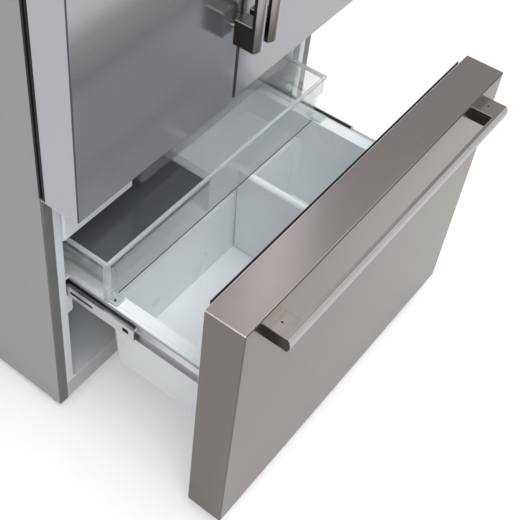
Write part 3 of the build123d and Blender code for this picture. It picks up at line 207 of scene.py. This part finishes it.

# in the steel finishes, side, top and edge are painted tones: light, shade and reflection by which way a face
# turns; the handles' dark sides are painted reflection
finishes = {
    "doorSteel": {"kind": "steel", "front": linear(183, 182, 187), "side": linear(200, 199, 204),
                  "top": linear(170, 168, 170), "edge": linear(80, 85, 91), "rough": (0.13, 0.19),
                  # seal is a painted shadow on the returned edge beside the gasket
                  "grain": "x", "metal": 0.80, "seal": linear(18, 18, 19), "sealWidth": 0.0052},
    "drawerSteel": {"kind": "steel", "front": linear(136, 130, 125), "side": linear(126, 120, 115),
                    "top": linear(159, 153, 149), "edge": linear(112, 107, 103), "rough": (0.19, 0.26),
                    # fold is a painted highlight along the top's side edges
                    "grain": "x", "fold": linear(214, 211, 208), "foldWidth": 0.0018},
    "uprightHandle": {"kind": "steel", "front": linear(188, 185, 186), "side": linear(64, 60, 57),
                      "top": linear(128, 125, 120), "edge": linear(176, 172, 168), "rough": (0.20, 0.27),
                      "grain": "z"},
    "levelHandle": {"kind": "steel", "front": linear(190, 187, 188), "side": linear(66, 62, 58),
                    "top": linear(160, 154, 150), "edge": linear(190, 187, 186), "rough": (0.20, 0.27),
                    "grain": "x"},
    "aluminium": {"kind": "steel", "front": linear(200, 202, 205), "side": linear(200, 202, 205),
                  "top": linear(200, 202, 205), "edge": linear(208, 210, 212), "rough": (0.28, 0.40),
                  "grain": "z"},
    "whitePlastic": {"kind": "moulded", "colour": linear(240, 244, 246), "rough": (0.26, 0.36), "grain": 900},
    "liner": {"kind": "moulded", "colour": linear(232, 236, 239), "rough": (0.28, 0.40), "grain": 700},
    "greyPlastic": {"kind": "moulded", "colour": linear(206, 204, 207), "rough": (0.35, 0.48), "grain": 800},
    "darkPlastic": {"kind": "moulded", "colour": linear(48, 49, 51), "rough": (0.40, 0.55), "grain": 900},
    "foam": {"kind": "moulded", "colour": linear(224, 208, 168), "rough": (0.7, 0.85), "grain": 300},
    "lampLens": {"kind": "moulded", "colour": linear(246, 246, 242), "rough": (0.30, 0.42), "grain": 500},
    "blackEnamel": {"kind": "paint", "colour": linear(38, 38, 40), "rough": (0.22, 0.34)},
    "rearPaint": {"kind": "paint", "colour": linear(150, 151, 152), "rough": (0.38, 0.50),
                  "seam": linear(52, 52, 53), "seamWidth": 0.0011, "seamDepth": 0.0004},
    "casePaint": {"kind": "case", "colour": linear(165, 164, 166), "rough": (0.32, 0.42),
                  # flange is painted shade on the front flange
                  "flange": linear(112, 111, 110), "flangeDepth": 0.0022,
                  # fold is a painted shadow in the gap beside the door seals
                  "fold": linear(20, 19, 18), "foldDepth": 0.0034, "foldWidth": 0.0062},
    "rubber": {"kind": "rubber", "colour": linear(20, 20, 21), "rough": (0.55, 0.72)},
    "clear": {"kind": "clear", "colour": (0.965, 0.985, 0.985, 1.0), "rough": (0.02, 0.05), "alpha": 0.28,
              "clearness": 0.86},
    "clearEdge": {"kind": "bright", "colour": linear(236, 243, 245), "rough": (0.10, 0.18), "alpha": 0.74,
                  "clearness": 0.45},
    "shelfGlass": {"kind": "clear", "colour": (0.90, 0.96, 0.945, 1.0), "rough": (0.0, 0.03), "alpha": 0.60,
                   "clearness": 1.0},
    "darkPanel": {"kind": "gloss", "colour": linear(85, 88, 93), "rough": (0.10, 0.18)},
    "zinc": {"kind": "zinc", "colour": linear(205, 206, 208)},
    "slideZinc": {"kind": "zinc", "colour": linear(214, 215, 217), "strip": 0.0037},
    "railZinc": {"kind": "zinc", "colour": linear(200, 201, 203), "cap": 0.009},
    "hingeZinc": {"kind": "zinc", "colour": linear(214, 215, 217), "foot": linear(118, 117, 116),
                  "footDrop": 0.0046},
}


def steelFinish(name, look):
    # brushed steel: long fine scratches along the grain; each face's tone is painted light, shade and
    # reflection by which way it faces
    made, tree, shader = newMaterial(name)
    slow, quick = look["along"], look["across"]
    stretch = (slow, quick, quick) if look["grain"] == "x" else (quick, quick, slow)
    scratch = noiseOn(tree, 1.0, stretch, detail=3.0)
    cloud = noiseOn(tree, look["cloud"])
    toward = [maths(tree, "ABSOLUTE", axis) for axis in axesOf(tree, "Normal")]
    # painted reflection and light: faces turned sideways take the side tone, faces turned up or down the top
    # tone
    tone = mixed(tree, remap(tree, toward[0], 0, 1, *look["turn"]), look["front"], look["side"])
    tone = mixed(tree, remap(tree, toward[2], 0, 1, *look["turn"]), tone, look["top"])
    # painted highlight and shade: rounded edges, which face no axis squarely, take the edge tone
    flatness = maths(tree, "MAXIMUM", maths(tree, "MAXIMUM", toward[0], toward[1]), toward[2])
    tone = mixed(tree, remap(tree, flatness, 1, 0, *look["flat"]), tone, look["edge"])
    if "fold" in look:  # painted highlight: a bright line where the top meets the sides
        across, _, height = axesOf(tree, "Object")
        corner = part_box("drawer_skin")[1]
        nearSide = maths(tree, "GREATER_THAN", maths(tree, "ABSOLUTE", across), corner.x - look["foldWidth"])
        nearTop = maths(tree, "GREATER_THAN", height, corner.z - look["foldWidth"])
        tone = mixed(tree, maths(tree, "MULTIPLY", nearSide, nearTop), tone, look["fold"])
    if "seal" in look:  # painted shadow: the sheet's returned edge, near black beside the gasket
        _, depth, _ = axesOf(tree, "Object")
        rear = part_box("left_door_skin")[1].y
        tone = mixed(tree, maths(tree, "GREATER_THAN", depth, rear - look["sealWidth"]), tone, look["seal"])
    wear = maths(tree, "ADD", remap(tree, scratch, *look["scratchTone"]),
                 remap(tree, cloud, *look["cloudTone"]))
    shade = addNode(tree, "ShaderNodeCombineXYZ", X=wear, Y=wear, Z=wear).outputs[0]
    tone = mixed(tree, 1.0, tone, shade, "MULTIPLY")
    dress(tree, shader, tone, remap(tree, scratch, *look["rough"]))
    shader.inputs["Metallic"].default_value = look["metal"]
    bump(tree, shader, scratch, look)
    return made


def mouldedFinish(name, look):
    # moulded plastic: faint eroded grain and a slightly uneven sheen
    made, tree, shader = newMaterial(name)
    cloud = noiseOn(tree, look["cloud"])
    dress(tree, shader, uneven(tree, cloud, look), remap(tree, cloud, *look["rough"]))
    shader.inputs["Specular IOR Level"].default_value = look["specular"]
    bump(tree, shader, noiseOn(tree, look["grain"]), look)
    return made


def paintFinish(name, look):
    # sprayed enamel: orange peel under a soft gloss
    made, tree, shader = newMaterial(name)
    cloud = noiseOn(tree, look["cloud"])
    tone = uneven(tree, cloud, look)
    if "seam" in look:  # shadow line between the back's two sheets and round them
        across, depth, height = axesOf(tree, "Object")
        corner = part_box("machine_cover")[1]
        side = maths(tree, "ABSOLUTE", maths(tree, "SUBTRACT", maths(tree, "ABSOLUTE", across), corner.x))
        level = maths(tree, "ABSOLUTE", maths(tree, "SUBTRACT", height, corner.z))
        onSeam = maths(tree, "LESS_THAN", maths(tree, "MINIMUM", side, level), look["seamWidth"])
        onBack = maths(tree, "GREATER_THAN", depth, corner.y - look["seamDepth"])
        tone = mixed(tree, maths(tree, "MULTIPLY", onSeam, onBack), tone, look["seam"])
    dress(tree, shader, tone, remap(tree, cloud, *look["rough"]))
    bump(tree, shader, noiseOn(tree, look["peel"]), look)
    return made


def caseFinish(name, look):
    # the same enamel, with painted shade on the flange that faces the doors and a near-black painted shadow
    # on the fold beside their seals
    made, tree, shader = newMaterial(name)
    across, depth, height = axesOf(tree, "Object")
    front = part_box("side_panel_left")[0].y
    cloud = noiseOn(tree, look["cloud"])
    # painted shade: the front flange takes a darker tone
    paintedShadeOnFlange = maths(tree, "LESS_THAN", depth, front + look["flangeDepth"])
    tone = mixed(tree, paintedShadeOnFlange, uneven(tree, cloud, look), look["flange"])
    # painted shadow: above the drawer, the outer fold beside the door seals turns near black
    beside = maths(tree, "LESS_THAN", depth, front + look["foldDepth"])
    outer = maths(tree, "GREATER_THAN", maths(tree, "ABSOLUTE", across), cadBox[1][0] - look["foldWidth"])
    above = maths(tree, "GREATER_THAN", height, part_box("left_door_skin")[0].z)
    paintedShadowOnFold = maths(tree, "MULTIPLY", maths(tree, "MULTIPLY", beside, outer), above)
    dress(tree, shader, mixed(tree, paintedShadowOnFold, tone, look["fold"]), remap(tree, cloud, *look["rough"]))
    bump(tree, shader, noiseOn(tree, look["peel"]), look)
    return made


def rubberFinish(name, look):
    made, tree, shader = newMaterial(name)
    cloud = noiseOn(tree, look["cloud"], detail=3.0)
    dress(tree, shader, uneven(tree, cloud, look), remap(tree, cloud, *look["rough"]))
    bump(tree, shader, noiseOn(tree, look["grain"]), look)
    return made


def seeThrough(shader, look):
    shader.inputs["Transmission Weight"].default_value = look["clearness"]
    shader.inputs["IOR"].default_value = look["index"]
    shader.inputs["Alpha"].default_value = look["alpha"]


def clearFinish(name, look):
    # polished clear moulding, or glass
    made, tree, shader = newMaterial(name)
    seeThrough(shader, look)
    haze = noiseOn(tree, look["cloud"])
    dress(tree, shader, uneven(tree, haze, look), remap(tree, haze, *look["rough"]))
    return made


def brightFinish(name, look):
    # the thick edge of a clear moulding, which gathers light and looks almost white
    made, tree, shader = newMaterial(name)
    seeThrough(shader, look)
    flow = noiseOn(tree, 1.0, look["flow"])
    dress(tree, shader, uneven(tree, flow, look), remap(tree, flow, *look["rough"]))
    return made


def glossFinish(name, look):
    made, tree, shader = newMaterial(name)
    cloud = noiseOn(tree, look["cloud"], detail=3.0)
    dress(tree, shader, uneven(tree, cloud, look), remap(tree, cloud, *look["rough"]))
    return made


def zincFinish(name, look):
    # bright zinc plating, drawn along the rail, with black plastic or grey paint over a part of it
    made, tree, shader = newMaterial(name)
    draw = noiseOn(tree, 1.0, look["draw"], detail=1.0)
    spangle = noiseOn(tree, look["spangle"], detail=1.0)
    _, depth, height = axesOf(tree, "Object")
    tone, metal = uneven(tree, draw, look), 1.0

    def covered(where, colour):
        return mixed(tree, where, tone, colour), maths(tree, "SUBTRACT", 1.0, where)
    if "strip" in look:
        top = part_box("slide_middle_left")[1].z
        tone, metal = covered(maths(tree, "GREATER_THAN", height, top - look["strip"]), look["black"])
    if "cap" in look:
        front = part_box("slide_outer_rails")[0].y
        tone, metal = covered(maths(tree, "LESS_THAN", depth, front + look["cap"]), look["black"])
    if "foot" in look:
        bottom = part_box("left_door_skin")[0].z
        tone, metal = covered(maths(tree, "LESS_THAN", height, bottom - look["footDrop"]), look["foot"])
    dress(tree, shader, tone, remap(tree, spangle, *look["rough"]))
    plug(tree, shader.inputs["Metallic"], metal)
    bump(tree, shader, draw, look)
    return made


makers = {"steel": steelFinish, "moulded": mouldedFinish, "paint": paintFinish, "case": caseFinish,
          "rubber": rubberFinish, "clear": clearFinish, "bright": brightFinish, "gloss": glossFinish,
          "zinc": zincFinish}
materials = {}
for name, look in finishes.items():
    materials[name] = makers[look["kind"]](name, {**kinds[look["kind"]], **look})
print("finishes made:", len(materials))


# Finishes put on the CAD pieces

wornBy = {
    "doorSteel": ["left_door_skin", "right_door_skin"],
    "drawerSteel": ["drawer_skin"],
    "uprightHandle": ["left_door_handle", "right_door_handle"],
    "levelHandle": ["drawer_handle"],
    "casePaint": ["side_panel_left", "side_panel_right", "top_panel", "mid_rail"],
    "rearPaint": ["back_panel", "machine_cover", "base_frame"],
    "liner": ["fridge_liner", "freezer_liner", "left_door_liner", "right_door_liner", "drawer_liner",
              "evaporator_cover", "fridge_duct_cover"],
    "whitePlastic": ["freezer_bin", "bin_divider", "slide_mount_blocks", "sync_racks", "shelf_frames",
                     "crisper_frame", "ice_maker_housing", "evaporator_fan"],
    "greyPlastic": ["toe_panel", "flip_mullion"],
    "darkPlastic": ["levelling_feet", "hinge_covers", "condenser_fan", "rear_rollers"],
    "foam": ["foam_insulation"],
    "blackEnamel": ["compressor"],
    "rubber": ["left_door_gasket", "right_door_gasket", "drawer_gasket"],
    "clear": ["tray_shell", "upper_basket", "crisper_left", "crisper_right", "left_door_bins",
              "right_door_bins"],
    "shelfGlass": ["upper_shelf_glass", "lower_shelf_glass", "crisper_cover_glass"],
    "darkPanel": ["tray_panel"],
    "zinc": ["slide_inner_rails", "drawer_arms", "sync_shaft", "top_hinges"],
    "slideZinc": ["slide_middle_left", "slide_middle_right"],
    "railZinc": ["slide_outer_rails"],
    "hingeZinc": ["mid_hinges"],
    "aluminium": ["condenser", "evaporator"],
}
for finish, names in wornBy.items():
    for name in names:
        slots = cad[name].data.materials
        slots.clear()
        slots.append(materials[finish])
bare = set(cad) - {name for names in wornBy.values() for name in names}
print("CAD pieces without a finish:", sorted(bare))


# Modelling helpers

modelling = {
    "inLine": 0.95,  # cosine above which a face or edge counts as lying in a direction
    "mergeWithin": 0.000005,
    "roundingSteps": 2,
    "smoothBelow": 35,  # degrees between faces that are shaded smooth
}


def choose(*pieces):
    # only these are selected, and the first one is active
    bpy.ops.object.select_all(action="DESELECT")
    for piece in pieces:
        piece.select_set(True)
    bpy.context.view_layer.objects.active = pieces[0]


def settle(name, size=(1, 1, 1)):
    # the new piece's name, place and size go into its mesh, so the object itself stays at the origin
    piece = bpy.context.object
    piece.name = piece.data.name = name
    piece.scale = size
    bpy.ops.object.transform_apply(location=True, rotation=True, scale=True)
    return piece


def addCube(name, low, high):
    # a cube at its size and place, ready to be shaped
    bpy.ops.object.select_all(action="DESELECT")
    bpy.ops.mesh.primitive_cube_add(size=1, location=[(a + b) / 2 for a, b in zip(low, high)])
    return settle(name, [b - a for a, b in zip(low, high)])


def addRound(name, centre, look):
    # an upright round bar, ready to be shaped
    bpy.ops.object.select_all(action="DESELECT")
    bpy.ops.mesh.primitive_cylinder_add(vertices=look["sides"], radius=look["radius"], depth=look["length"],
                                        location=centre)
    return settle(name)


def addBand(name, low, high, width):
    # a flat ring at its outline, given its height
    bpy.ops.object.select_all(action="DESELECT")
    place = ((low[0] + high[0]) / 2, (low[1] + high[1]) / 2, low[2])
    bpy.ops.mesh.primitive_plane_add(size=1, location=place)
    piece = settle(name, (high[0] - low[0], high[1] - low[1], 1))
    bpy.ops.object.mode_set(mode="EDIT")
    bpy.ops.mesh.select_all(action="SELECT")
    bpy.ops.mesh.inset(thickness=width)
    bpy.ops.mesh.delete(type="FACE")
    bpy.ops.mesh.select_all(action="SELECT")
    bpy.ops.mesh.extrude_region_move(TRANSFORM_OT_translate={"value": (0, 0, high[2] - low[2])})
    bpy.ops.object.mode_set(mode="OBJECT")
    outwards()
    return piece


def outwards():
    bpy.ops.object.mode_set(mode="EDIT")
    bpy.ops.mesh.select_all(action="SELECT")
    bpy.ops.mesh.remove_doubles(threshold=modelling["mergeWithin"])
    bpy.ops.mesh.normals_make_consistent(inside=False)
    bpy.ops.object.mode_set(mode="OBJECT")


def pick(piece, kind, test):
    # selects the faces or edges that pass a test, and stays in edit mode
    bpy.ops.object.mode_set(mode="EDIT")
    bpy.ops.mesh.select_mode(type=kind)
    bpy.ops.mesh.select_all(action="DESELECT")
    bpy.ops.object.mode_set(mode="OBJECT")
    parts = piece.data.polygons if kind == "FACE" else piece.data.edges
    for part in parts:
        part.select = bool(test(part))
    bpy.ops.object.mode_set(mode="EDIT")


def facing(direction):
    # a test for faces that look one way
    aim = Vector(direction)
    return lambda face: face.normal.dot(aim) > modelling["inLine"]


def upright(piece):
    # a test for edges that run straight up
    points = piece.data.vertices

    def test(edge):
        run = points[edge.vertices[1]].co - points[edge.vertices[0]].co
        return abs(run.z) > modelling["inLine"] * run.length
    return test


def sink(piece, direction, margin, depth):
    # insets the faces that look one way and pushes them in
    pick(piece, "FACE", facing(direction))
    bpy.ops.mesh.inset(thickness=margin)
    bpy.ops.mesh.extrude_region_move(TRANSFORM_OT_translate={"value": [-depth * c for c in direction]})
    bpy.ops.object.mode_set(mode="OBJECT")


def soften(piece, width, angle=40):
    # rounds the edges that are sharper than the angle
    rounding = piece.modifiers.new("rounding", "BEVEL")
    rounding.width = width
    rounding.segments = modelling["roundingSteps"]
    rounding.angle_limit = math.radians(angle)
    bpy.context.view_layer.objects.active = piece
    bpy.ops.object.modifier_apply(modifier=rounding.name)


def inRow(piece, count, shift):
    # repeats the piece in a straight row, as one mesh
    row = piece.modifiers.new("row", "ARRAY")
    row.count = count
    row.use_relative_offset = False
    row.use_constant_offset = True
    row.constant_offset_displace = shift
    bpy.ops.object.modifier_apply(modifier=row.name)


def joined(pieces):
    choose(*pieces)
    bpy.ops.object.join()
    return pieces[0]


def flipped(piece, name):
    # the piece's twin on the other side
    choose(piece)
    bpy.ops.object.duplicate()
    twin = settle(name, (-1, 1, 1))
    outwards()
    return twin


def finished(piece, body, finish):
    choose(piece)
    bpy.ops.object.shade_smooth_by_angle(angle=math.radians(modelling["smoothBelow"]))
    piece.data.materials.clear()
    piece.data.materials.append(materials[finish])
    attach(piece, body)


# Clear tray: bright rim, corner post, clips, seal, and the light frame at the end of the dark panel

trayDepth = 0.215  # from the front wall to the back wall


def trayWalls():
    low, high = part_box("tray_shell")
    return Vector((low.x, high.y - trayDepth, low.z)), high


rimLook = {"out": 0.0014, "width": 0.0055, "drop": 0.0078, "rise": 0.0014, "rounding": 0.0011}


def trayRim():
    low, high = trayWalls()
    out = rimLook["out"]
    rim = addBand("trayRim", (low.x - out, low.y - out, high.z - rimLook["drop"]),
                  (high.x + out, high.y + out, high.z + rimLook["rise"]), rimLook["width"] + out)
    soften(rim, rimLook["rounding"])
    finished(rim, "tray", "clearEdge")


postLook = {"out": 0.0012, "width": 0.0095, "lift": 0.0002, "groove": 0.0026, "grooveDepth": 0.0008,
            "rounding": 0.0006}


def trayPost():
    # upright at the left front corner, from the bin's rim to the tray's own rim
    low, high = trayWalls()
    out, width = postLook["out"], postLook["width"]
    post = addCube("trayPost", (low.x - out, low.y - out, low.z + postLook["lift"]),
                   (low.x + width, low.y + width, high.z - rimLook["drop"]))
    sink(post, (-1, 0, 0), postLook["groove"], postLook["grooveDepth"])
    sink(post, (0, -1, 0), postLook["groove"], postLook["grooveDepth"])
    soften(post, postLook["rounding"])
    finished(post, "tray", "clearEdge")


clipLook = {"size": (0.028, 0.032, 0.0052), "front": -0.178, "in": 0.0015, "lift": 0.0001,
            "corner": 0.004, "cornerSteps": 3, "margin": 0.0035, "hollow": 0.0022, "rounding": 0.0005}
pinLook = {"across": 0.35, "along": 0.40, "rise": 0.0042, "radius": 0.0026, "length": 0.0034, "sides": 16,
           "margin": 0.0009, "hollow": 0.0008}  # across and along are shares of the clip


def trayClips():
    low = trayWalls()[0]
    size, front = clipLook["size"], clipLook["front"]
    left = low.x + clipLook["in"]
    clip = addCube("trayClipLeft", (left, front, low.z + clipLook["lift"]),
                   (left + size[0], front + size[1], low.z + size[2]))
    pick(clip, "EDGE", upright(clip))
    bpy.ops.mesh.bevel(offset=clipLook["corner"], segments=clipLook["cornerSteps"], affect="EDGES")
    bpy.ops.object.mode_set(mode="OBJECT")
    sink(clip, (0, 0, 1), clipLook["margin"], clipLook["hollow"])
    soften(clip, clipLook["rounding"], angle=50)
    finished(clip, "tray", "clearEdge")
    finished(flipped(clip, "trayClipRight"), "tray", "clearEdge")
    pin = addRound("trayClipPin", (left + size[0] * pinLook["across"], front + size[1] * pinLook["along"],
                                   low.z + pinLook["rise"]), pinLook)
    sink(pin, (0, 0, 1), pinLook["margin"], pinLook["hollow"])
    finished(pin, "tray", "darkPlastic")


sealLook = {"ends": 0.030, "front": 0.0008, "back": 0.0010, "lift": 0.0002, "height": 0.0020,
            "rounding": 0.0004}


def traySeal():
    # thin dark seal under the front wall, along the bin's rim
    low, high = trayWalls()
    ends = sealLook["ends"]
    seal = addCube("traySeal", (low.x + ends, low.y - sealLook["front"], low.z + sealLook["lift"]),
                   (high.x - ends, low.y + sealLook["back"], low.z + sealLook["height"]))
    soften(seal, sealLook["rounding"])
    finished(seal, "tray", "rubber")


barLook = {"past": 0.0003, "width": 0.0042, "height": 0.0034, "ends": 0.001, "rounding": 0.0008}
tabLook = {"size": (0.009, 0.012, 0.0022), "shares": (0.62, 0.80), "overlap": 0.001,
           "margin": 0.002, "hollow": 0.0008, "rounding": 0.0005}  # shares of the panel's depth


def trayPanelFrame():
    # light bar over the dark panel's free end, with two tabs that hold the panel
    low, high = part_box("tray_panel")
    right = high.x + barLook["past"]
    left = right - barLook["width"]
    bar = addCube("trayPanelFrame", (left, low.y + barLook["ends"], high.z),
                  (right, high.y - barLook["ends"], high.z + barLook["height"]))
    soften(bar, barLook["rounding"])
    finished(bar, "tray", "clearEdge")
    size = tabLook["size"]
    tabs = []
    for share in tabLook["shares"]:
        middle = low.y + share * (high.y - low.y)
        tab = addCube("trayPanelTabs", (left - size[0], middle - size[1] / 2, high.z),
                      (left + tabLook["overlap"], middle + size[1] / 2, high.z + size[2]))
        sink(tab, (0, 0, 1), tabLook["margin"], tabLook["hollow"])
        soften(tab, tabLook["rounding"], angle=50)
        tabs.append(tab)
    finished(joined(tabs), "tray", "darkPlastic")


trayRim()
trayPost()
trayClips()
traySeal()
trayPanelFrame()
print("tray dressed")


# Freezer bin: small ribs in the rim's side grooves

ribLook = {"in": 0.0020, "groove": 0.0070, "overlap": 0.0002, "ends": 0.020, "pitch": 0.0120,
           "width": 0.0022, "height": 0.0014, "drop": 0.0018, "taper": 0.55}


def binRibs():
    low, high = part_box("freezer_bin")
    left = low.x + ribLook["in"]
    first = low.y + ribLook["ends"]
    foot = high.z - ribLook["drop"]
    count = int((high.y - low.y - 2 * ribLook["ends"]) / ribLook["pitch"])
    rib = addCube("binRibsLeft", (left - ribLook["overlap"], first, foot),
                  (left + ribLook["groove"] + ribLook["overlap"], first + ribLook["width"],
                   foot + ribLook["height"]))
    pick(rib, "FACE", facing((0, 0, 1)))
    bpy.ops.transform.resize(value=(1, ribLook["taper"], 1))
    bpy.ops.object.mode_set(mode="OBJECT")
    inRow(rib, count, (0, ribLook["pitch"], 0))
    finished(rib, "freezer_drawer", "whitePlastic")
    finished(flipped(rib, "binRibsRight"), "freezer_drawer", "whitePlastic")


binRibs()
print("bin dressed")


# Drawer handle: set screws in the posts

screwLook = {"radius": 0.0020, "length": 0.0030, "sides": 18, "end": 0.025, "depth": 0.0020,
             "reach": 0.3125, "margin": 0.0010, "hollow": 0.0012}  # reach is a share of the handle's reach


def setScrews():
    low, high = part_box("drawer_handle")
    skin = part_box("drawer_skin")[0].y
    screws = []
    for side in (-1, 1):
        place = (side * (high.x - screwLook["end"]), skin - (skin - low.y) * screwLook["reach"],
                 high.z - screwLook["depth"] - screwLook["length"] / 2)
        screw = addRound("drawerSetScrews", place, screwLook)
        sink(screw, (0, 0, 1), screwLook["margin"], screwLook["hollow"])
        screws.append(screw)
    finished(joined(screws), "freezer_drawer", "darkPlastic")


setScrews()
print("handles dressed")


# Machine cover: a pressed hood behind each louvre

hoodLook = {"count": 6, "margin": 0.025, "rise": 0.004, "middle": 0.55, "halfLength": 0.106,
            "height": 0.011, "depth": 0.0075, "sheet": 0.0012, "overlap": 0.0006, "taper": 0.94}


def louvreHoods():
    low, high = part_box("machine_cover")
    step = (high.z - low.z - 2 * hoodLook["margin"]) / hoodLook["count"]
    half = hoodLook["halfLength"]
    z = low.z + hoodLook["margin"] + 0.5 * step + hoodLook["rise"]
    for side, name in ((-1, "louvreHoodsLeft"), (1, "louvreHoodsRight")):
        middle = side * high.x * hoodLook["middle"]
        hood = addCube(name, (middle - half, low.y - hoodLook["depth"], z),
                       (middle + half, low.y + hoodLook["overlap"], z + hoodLook["sheet"]))
        pick(hood, "FACE", facing((0, -1, 0)))
        bpy.ops.transform.translate(value=(0, 0, -hoodLook["height"]))
        bpy.ops.transform.resize(value=(hoodLook["taper"], 1, 1))
        bpy.ops.object.mode_set(mode="OBJECT")
        inRow(hood, hoodLook["count"], (0, 0, step))
        finished(hood, "cabinet", "rearPaint")


louvreHoods()
print("machine cover dressed")


# Fridge: lamp lens under the ceiling

lensLook = {"halfLength": 0.150, "front": 0.050, "depth": 0.046, "drop": 0.007, "linerWall": 0.003,
            "taper": (0.93, 0.72, 1), "margin": 0.004, "hollow": 0.0012, "rounding": 0.0012}


def fridgeLamp():
    low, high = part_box("fridge_liner")
    ceiling = high.z - lensLook["linerWall"]
    half, front = lensLook["halfLength"], low.y + lensLook["front"]
    lens = addCube("fridgeLampLens", (-half, front, ceiling - lensLook["drop"]),
                   (half, front + lensLook["depth"], ceiling))
    pick(lens, "FACE", facing((0, 0, -1)))
    bpy.ops.transform.resize(value=lensLook["taper"])
    bpy.ops.mesh.inset(thickness=lensLook["margin"])
    bpy.ops.mesh.extrude_region_move(TRANSFORM_OT_translate={"value": (0, 0, lensLook["hollow"])})
    bpy.ops.object.mode_set(mode="OBJECT")
    soften(lens, lensLook["rounding"])
    finished(lens, "cabinet", "lampLens")


fridgeLamp()
print("fridge dressed")


# Floor, background and lamps

studio = {
    "floorSize": 14.0,
    "floorColour": (0.80, 0.80, 0.80, 1.0),
    "floorRough": 0.9,
    "floorSpecular": 0.1,
    "floorCloud": 0.8,
    "floorSpread": (0.99, 1.0),
    "floorSeen": (0.30, 0.75),  # extra white, near and far, that only the camera and glass see
    "floorFade": (1.6, 6.5),  # where near ends and far begins
    "floorMirrored": 0.06,  # extra white in mirrors
    "fill": 0.60,  # light from all round
    # how bright the sky is in mirrors, from the horizon at 0 to overhead at 1
    "air": [(0.0, 1.0), (0.25, 0.80), (0.55, 0.50), (0.70, 0.55), (0.84, 0.95), (1.0, 1.0)],
    "lamps": [
        {"name": "keyLamp", "place": (-2.6, -2.9, 4.2), "aim": (0.0, -0.3, 0.7), "size": 2.6, "power": 46},
        {"name": "sideLamp", "place": (2.5, -1.6, 4.8), "aim": (0.0, -0.2, 0.9), "size": 2.4, "power": 40},
        {"name": "topLamp", "place": (-0.2, -1.6, 5.0), "aim": (0.0, -0.3, 0.4), "size": 3.0, "power": 96},
    ],
}


def seenBy(tree, kinds):
    # 1 for the ray kinds named, 0 for light that falls on things
    path = addNode(tree, "ShaderNodeLightPath")
    total = path.outputs[kinds[0]]
    for kind in kinds[1:]:
        total = maths(tree, "MAXIMUM", total, path.outputs[kind])
    return total


directly = ("Is Camera Ray", "Is Transmission Ray")
inMirrors = ("Is Glossy Ray",)


def addFloor(setup):
    bpy.ops.object.select_all(action="DESELECT")
    bpy.ops.mesh.primitive_plane_add(size=setup["floorSize"], location=(0, 0, 0))
    floor = bpy.context.object
    floor.name = "studioFloor"
    made, tree, shader = newMaterial("studioFloor")
    shader.inputs["Roughness"].default_value = setup["floorRough"]
    shader.inputs["Specular IOR Level"].default_value = setup["floorSpecular"]
    colour = uneven(tree, noiseOn(tree, setup["floorCloud"]),
                    {"colour": setup["floorColour"], "spread": setup["floorSpread"]})
    tree.links.new(colour, shader.inputs["Base Color"])
    shader.inputs["Emission Color"].default_value = (1, 1, 1, 1)
    place = addNode(tree, "ShaderNodeTexCoord").outputs["Object"]
    away = addNode(tree, "ShaderNodeVectorMath", {"operation": "LENGTH"})
    tree.links.new(place, away.inputs[0])
    whiter = remap(tree, away.outputs["Value"], *setup["floorSeen"], *setup["floorFade"])
    lift = maths(tree, "MAXIMUM", maths(tree, "MULTIPLY", seenBy(tree, directly), whiter),
                 maths(tree, "MULTIPLY", seenBy(tree, inMirrors), setup["floorMirrored"]))
    tree.links.new(lift, shader.inputs["Emission Strength"])
    floor.data.materials.append(made)


def addWorld(setup):
    # white for the camera and through glass, a soft graded sky for mirrors, an even fill for the rest
    world = bpy.data.worlds.new("studioAir")
    scene.world = world
    world.use_nodes = True
    tree = world.node_tree
    back = tree.nodes["Background"]
    back.inputs["Color"].default_value = (1, 1, 1, 1)
    height = axesOf(tree, "Generated")[2]
    ramp = addNode(tree, "ShaderNodeValToRGB", Fac=maths(tree, "MAXIMUM", height, 0.0))
    marks = ramp.color_ramp.elements
    while len(marks) < len(setup["air"]):
        marks.new(0.5)
    for mark, (place, level) in zip(marks, setup["air"]):
        mark.position = place
        mark.color = (level, level, level, 1)
    sky = addNode(tree, "ShaderNodeSeparateXYZ", Vector=ramp.outputs["Color"]).outputs["X"]
    light = mixedNumber(tree, seenBy(tree, inMirrors), setup["fill"], sky)
    light = mixedNumber(tree, seenBy(tree, directly), light, 1.0)
    tree.links.new(light, back.inputs["Strength"])


def addLamp(setup):
    data = bpy.data.lights.new(setup["name"], "AREA")
    data.energy = setup["power"]
    data.size = setup["size"]
    lamp = bpy.data.objects.new(setup["name"], data)
    scene.collection.objects.link(lamp)
    place = Vector(setup["place"])
    toward = Vector(setup["aim"]) - place
    lamp.matrix_world = Matrix.Translation(place) @ toward.to_track_quat("-Z", "Y").to_matrix().to_4x4()


addFloor(studio)
addWorld(studio)
for lampSetup in studio["lamps"]:
    addLamp(lampSetup)
scene.view_settings.view_transform = "Standard"
print("studio ready")
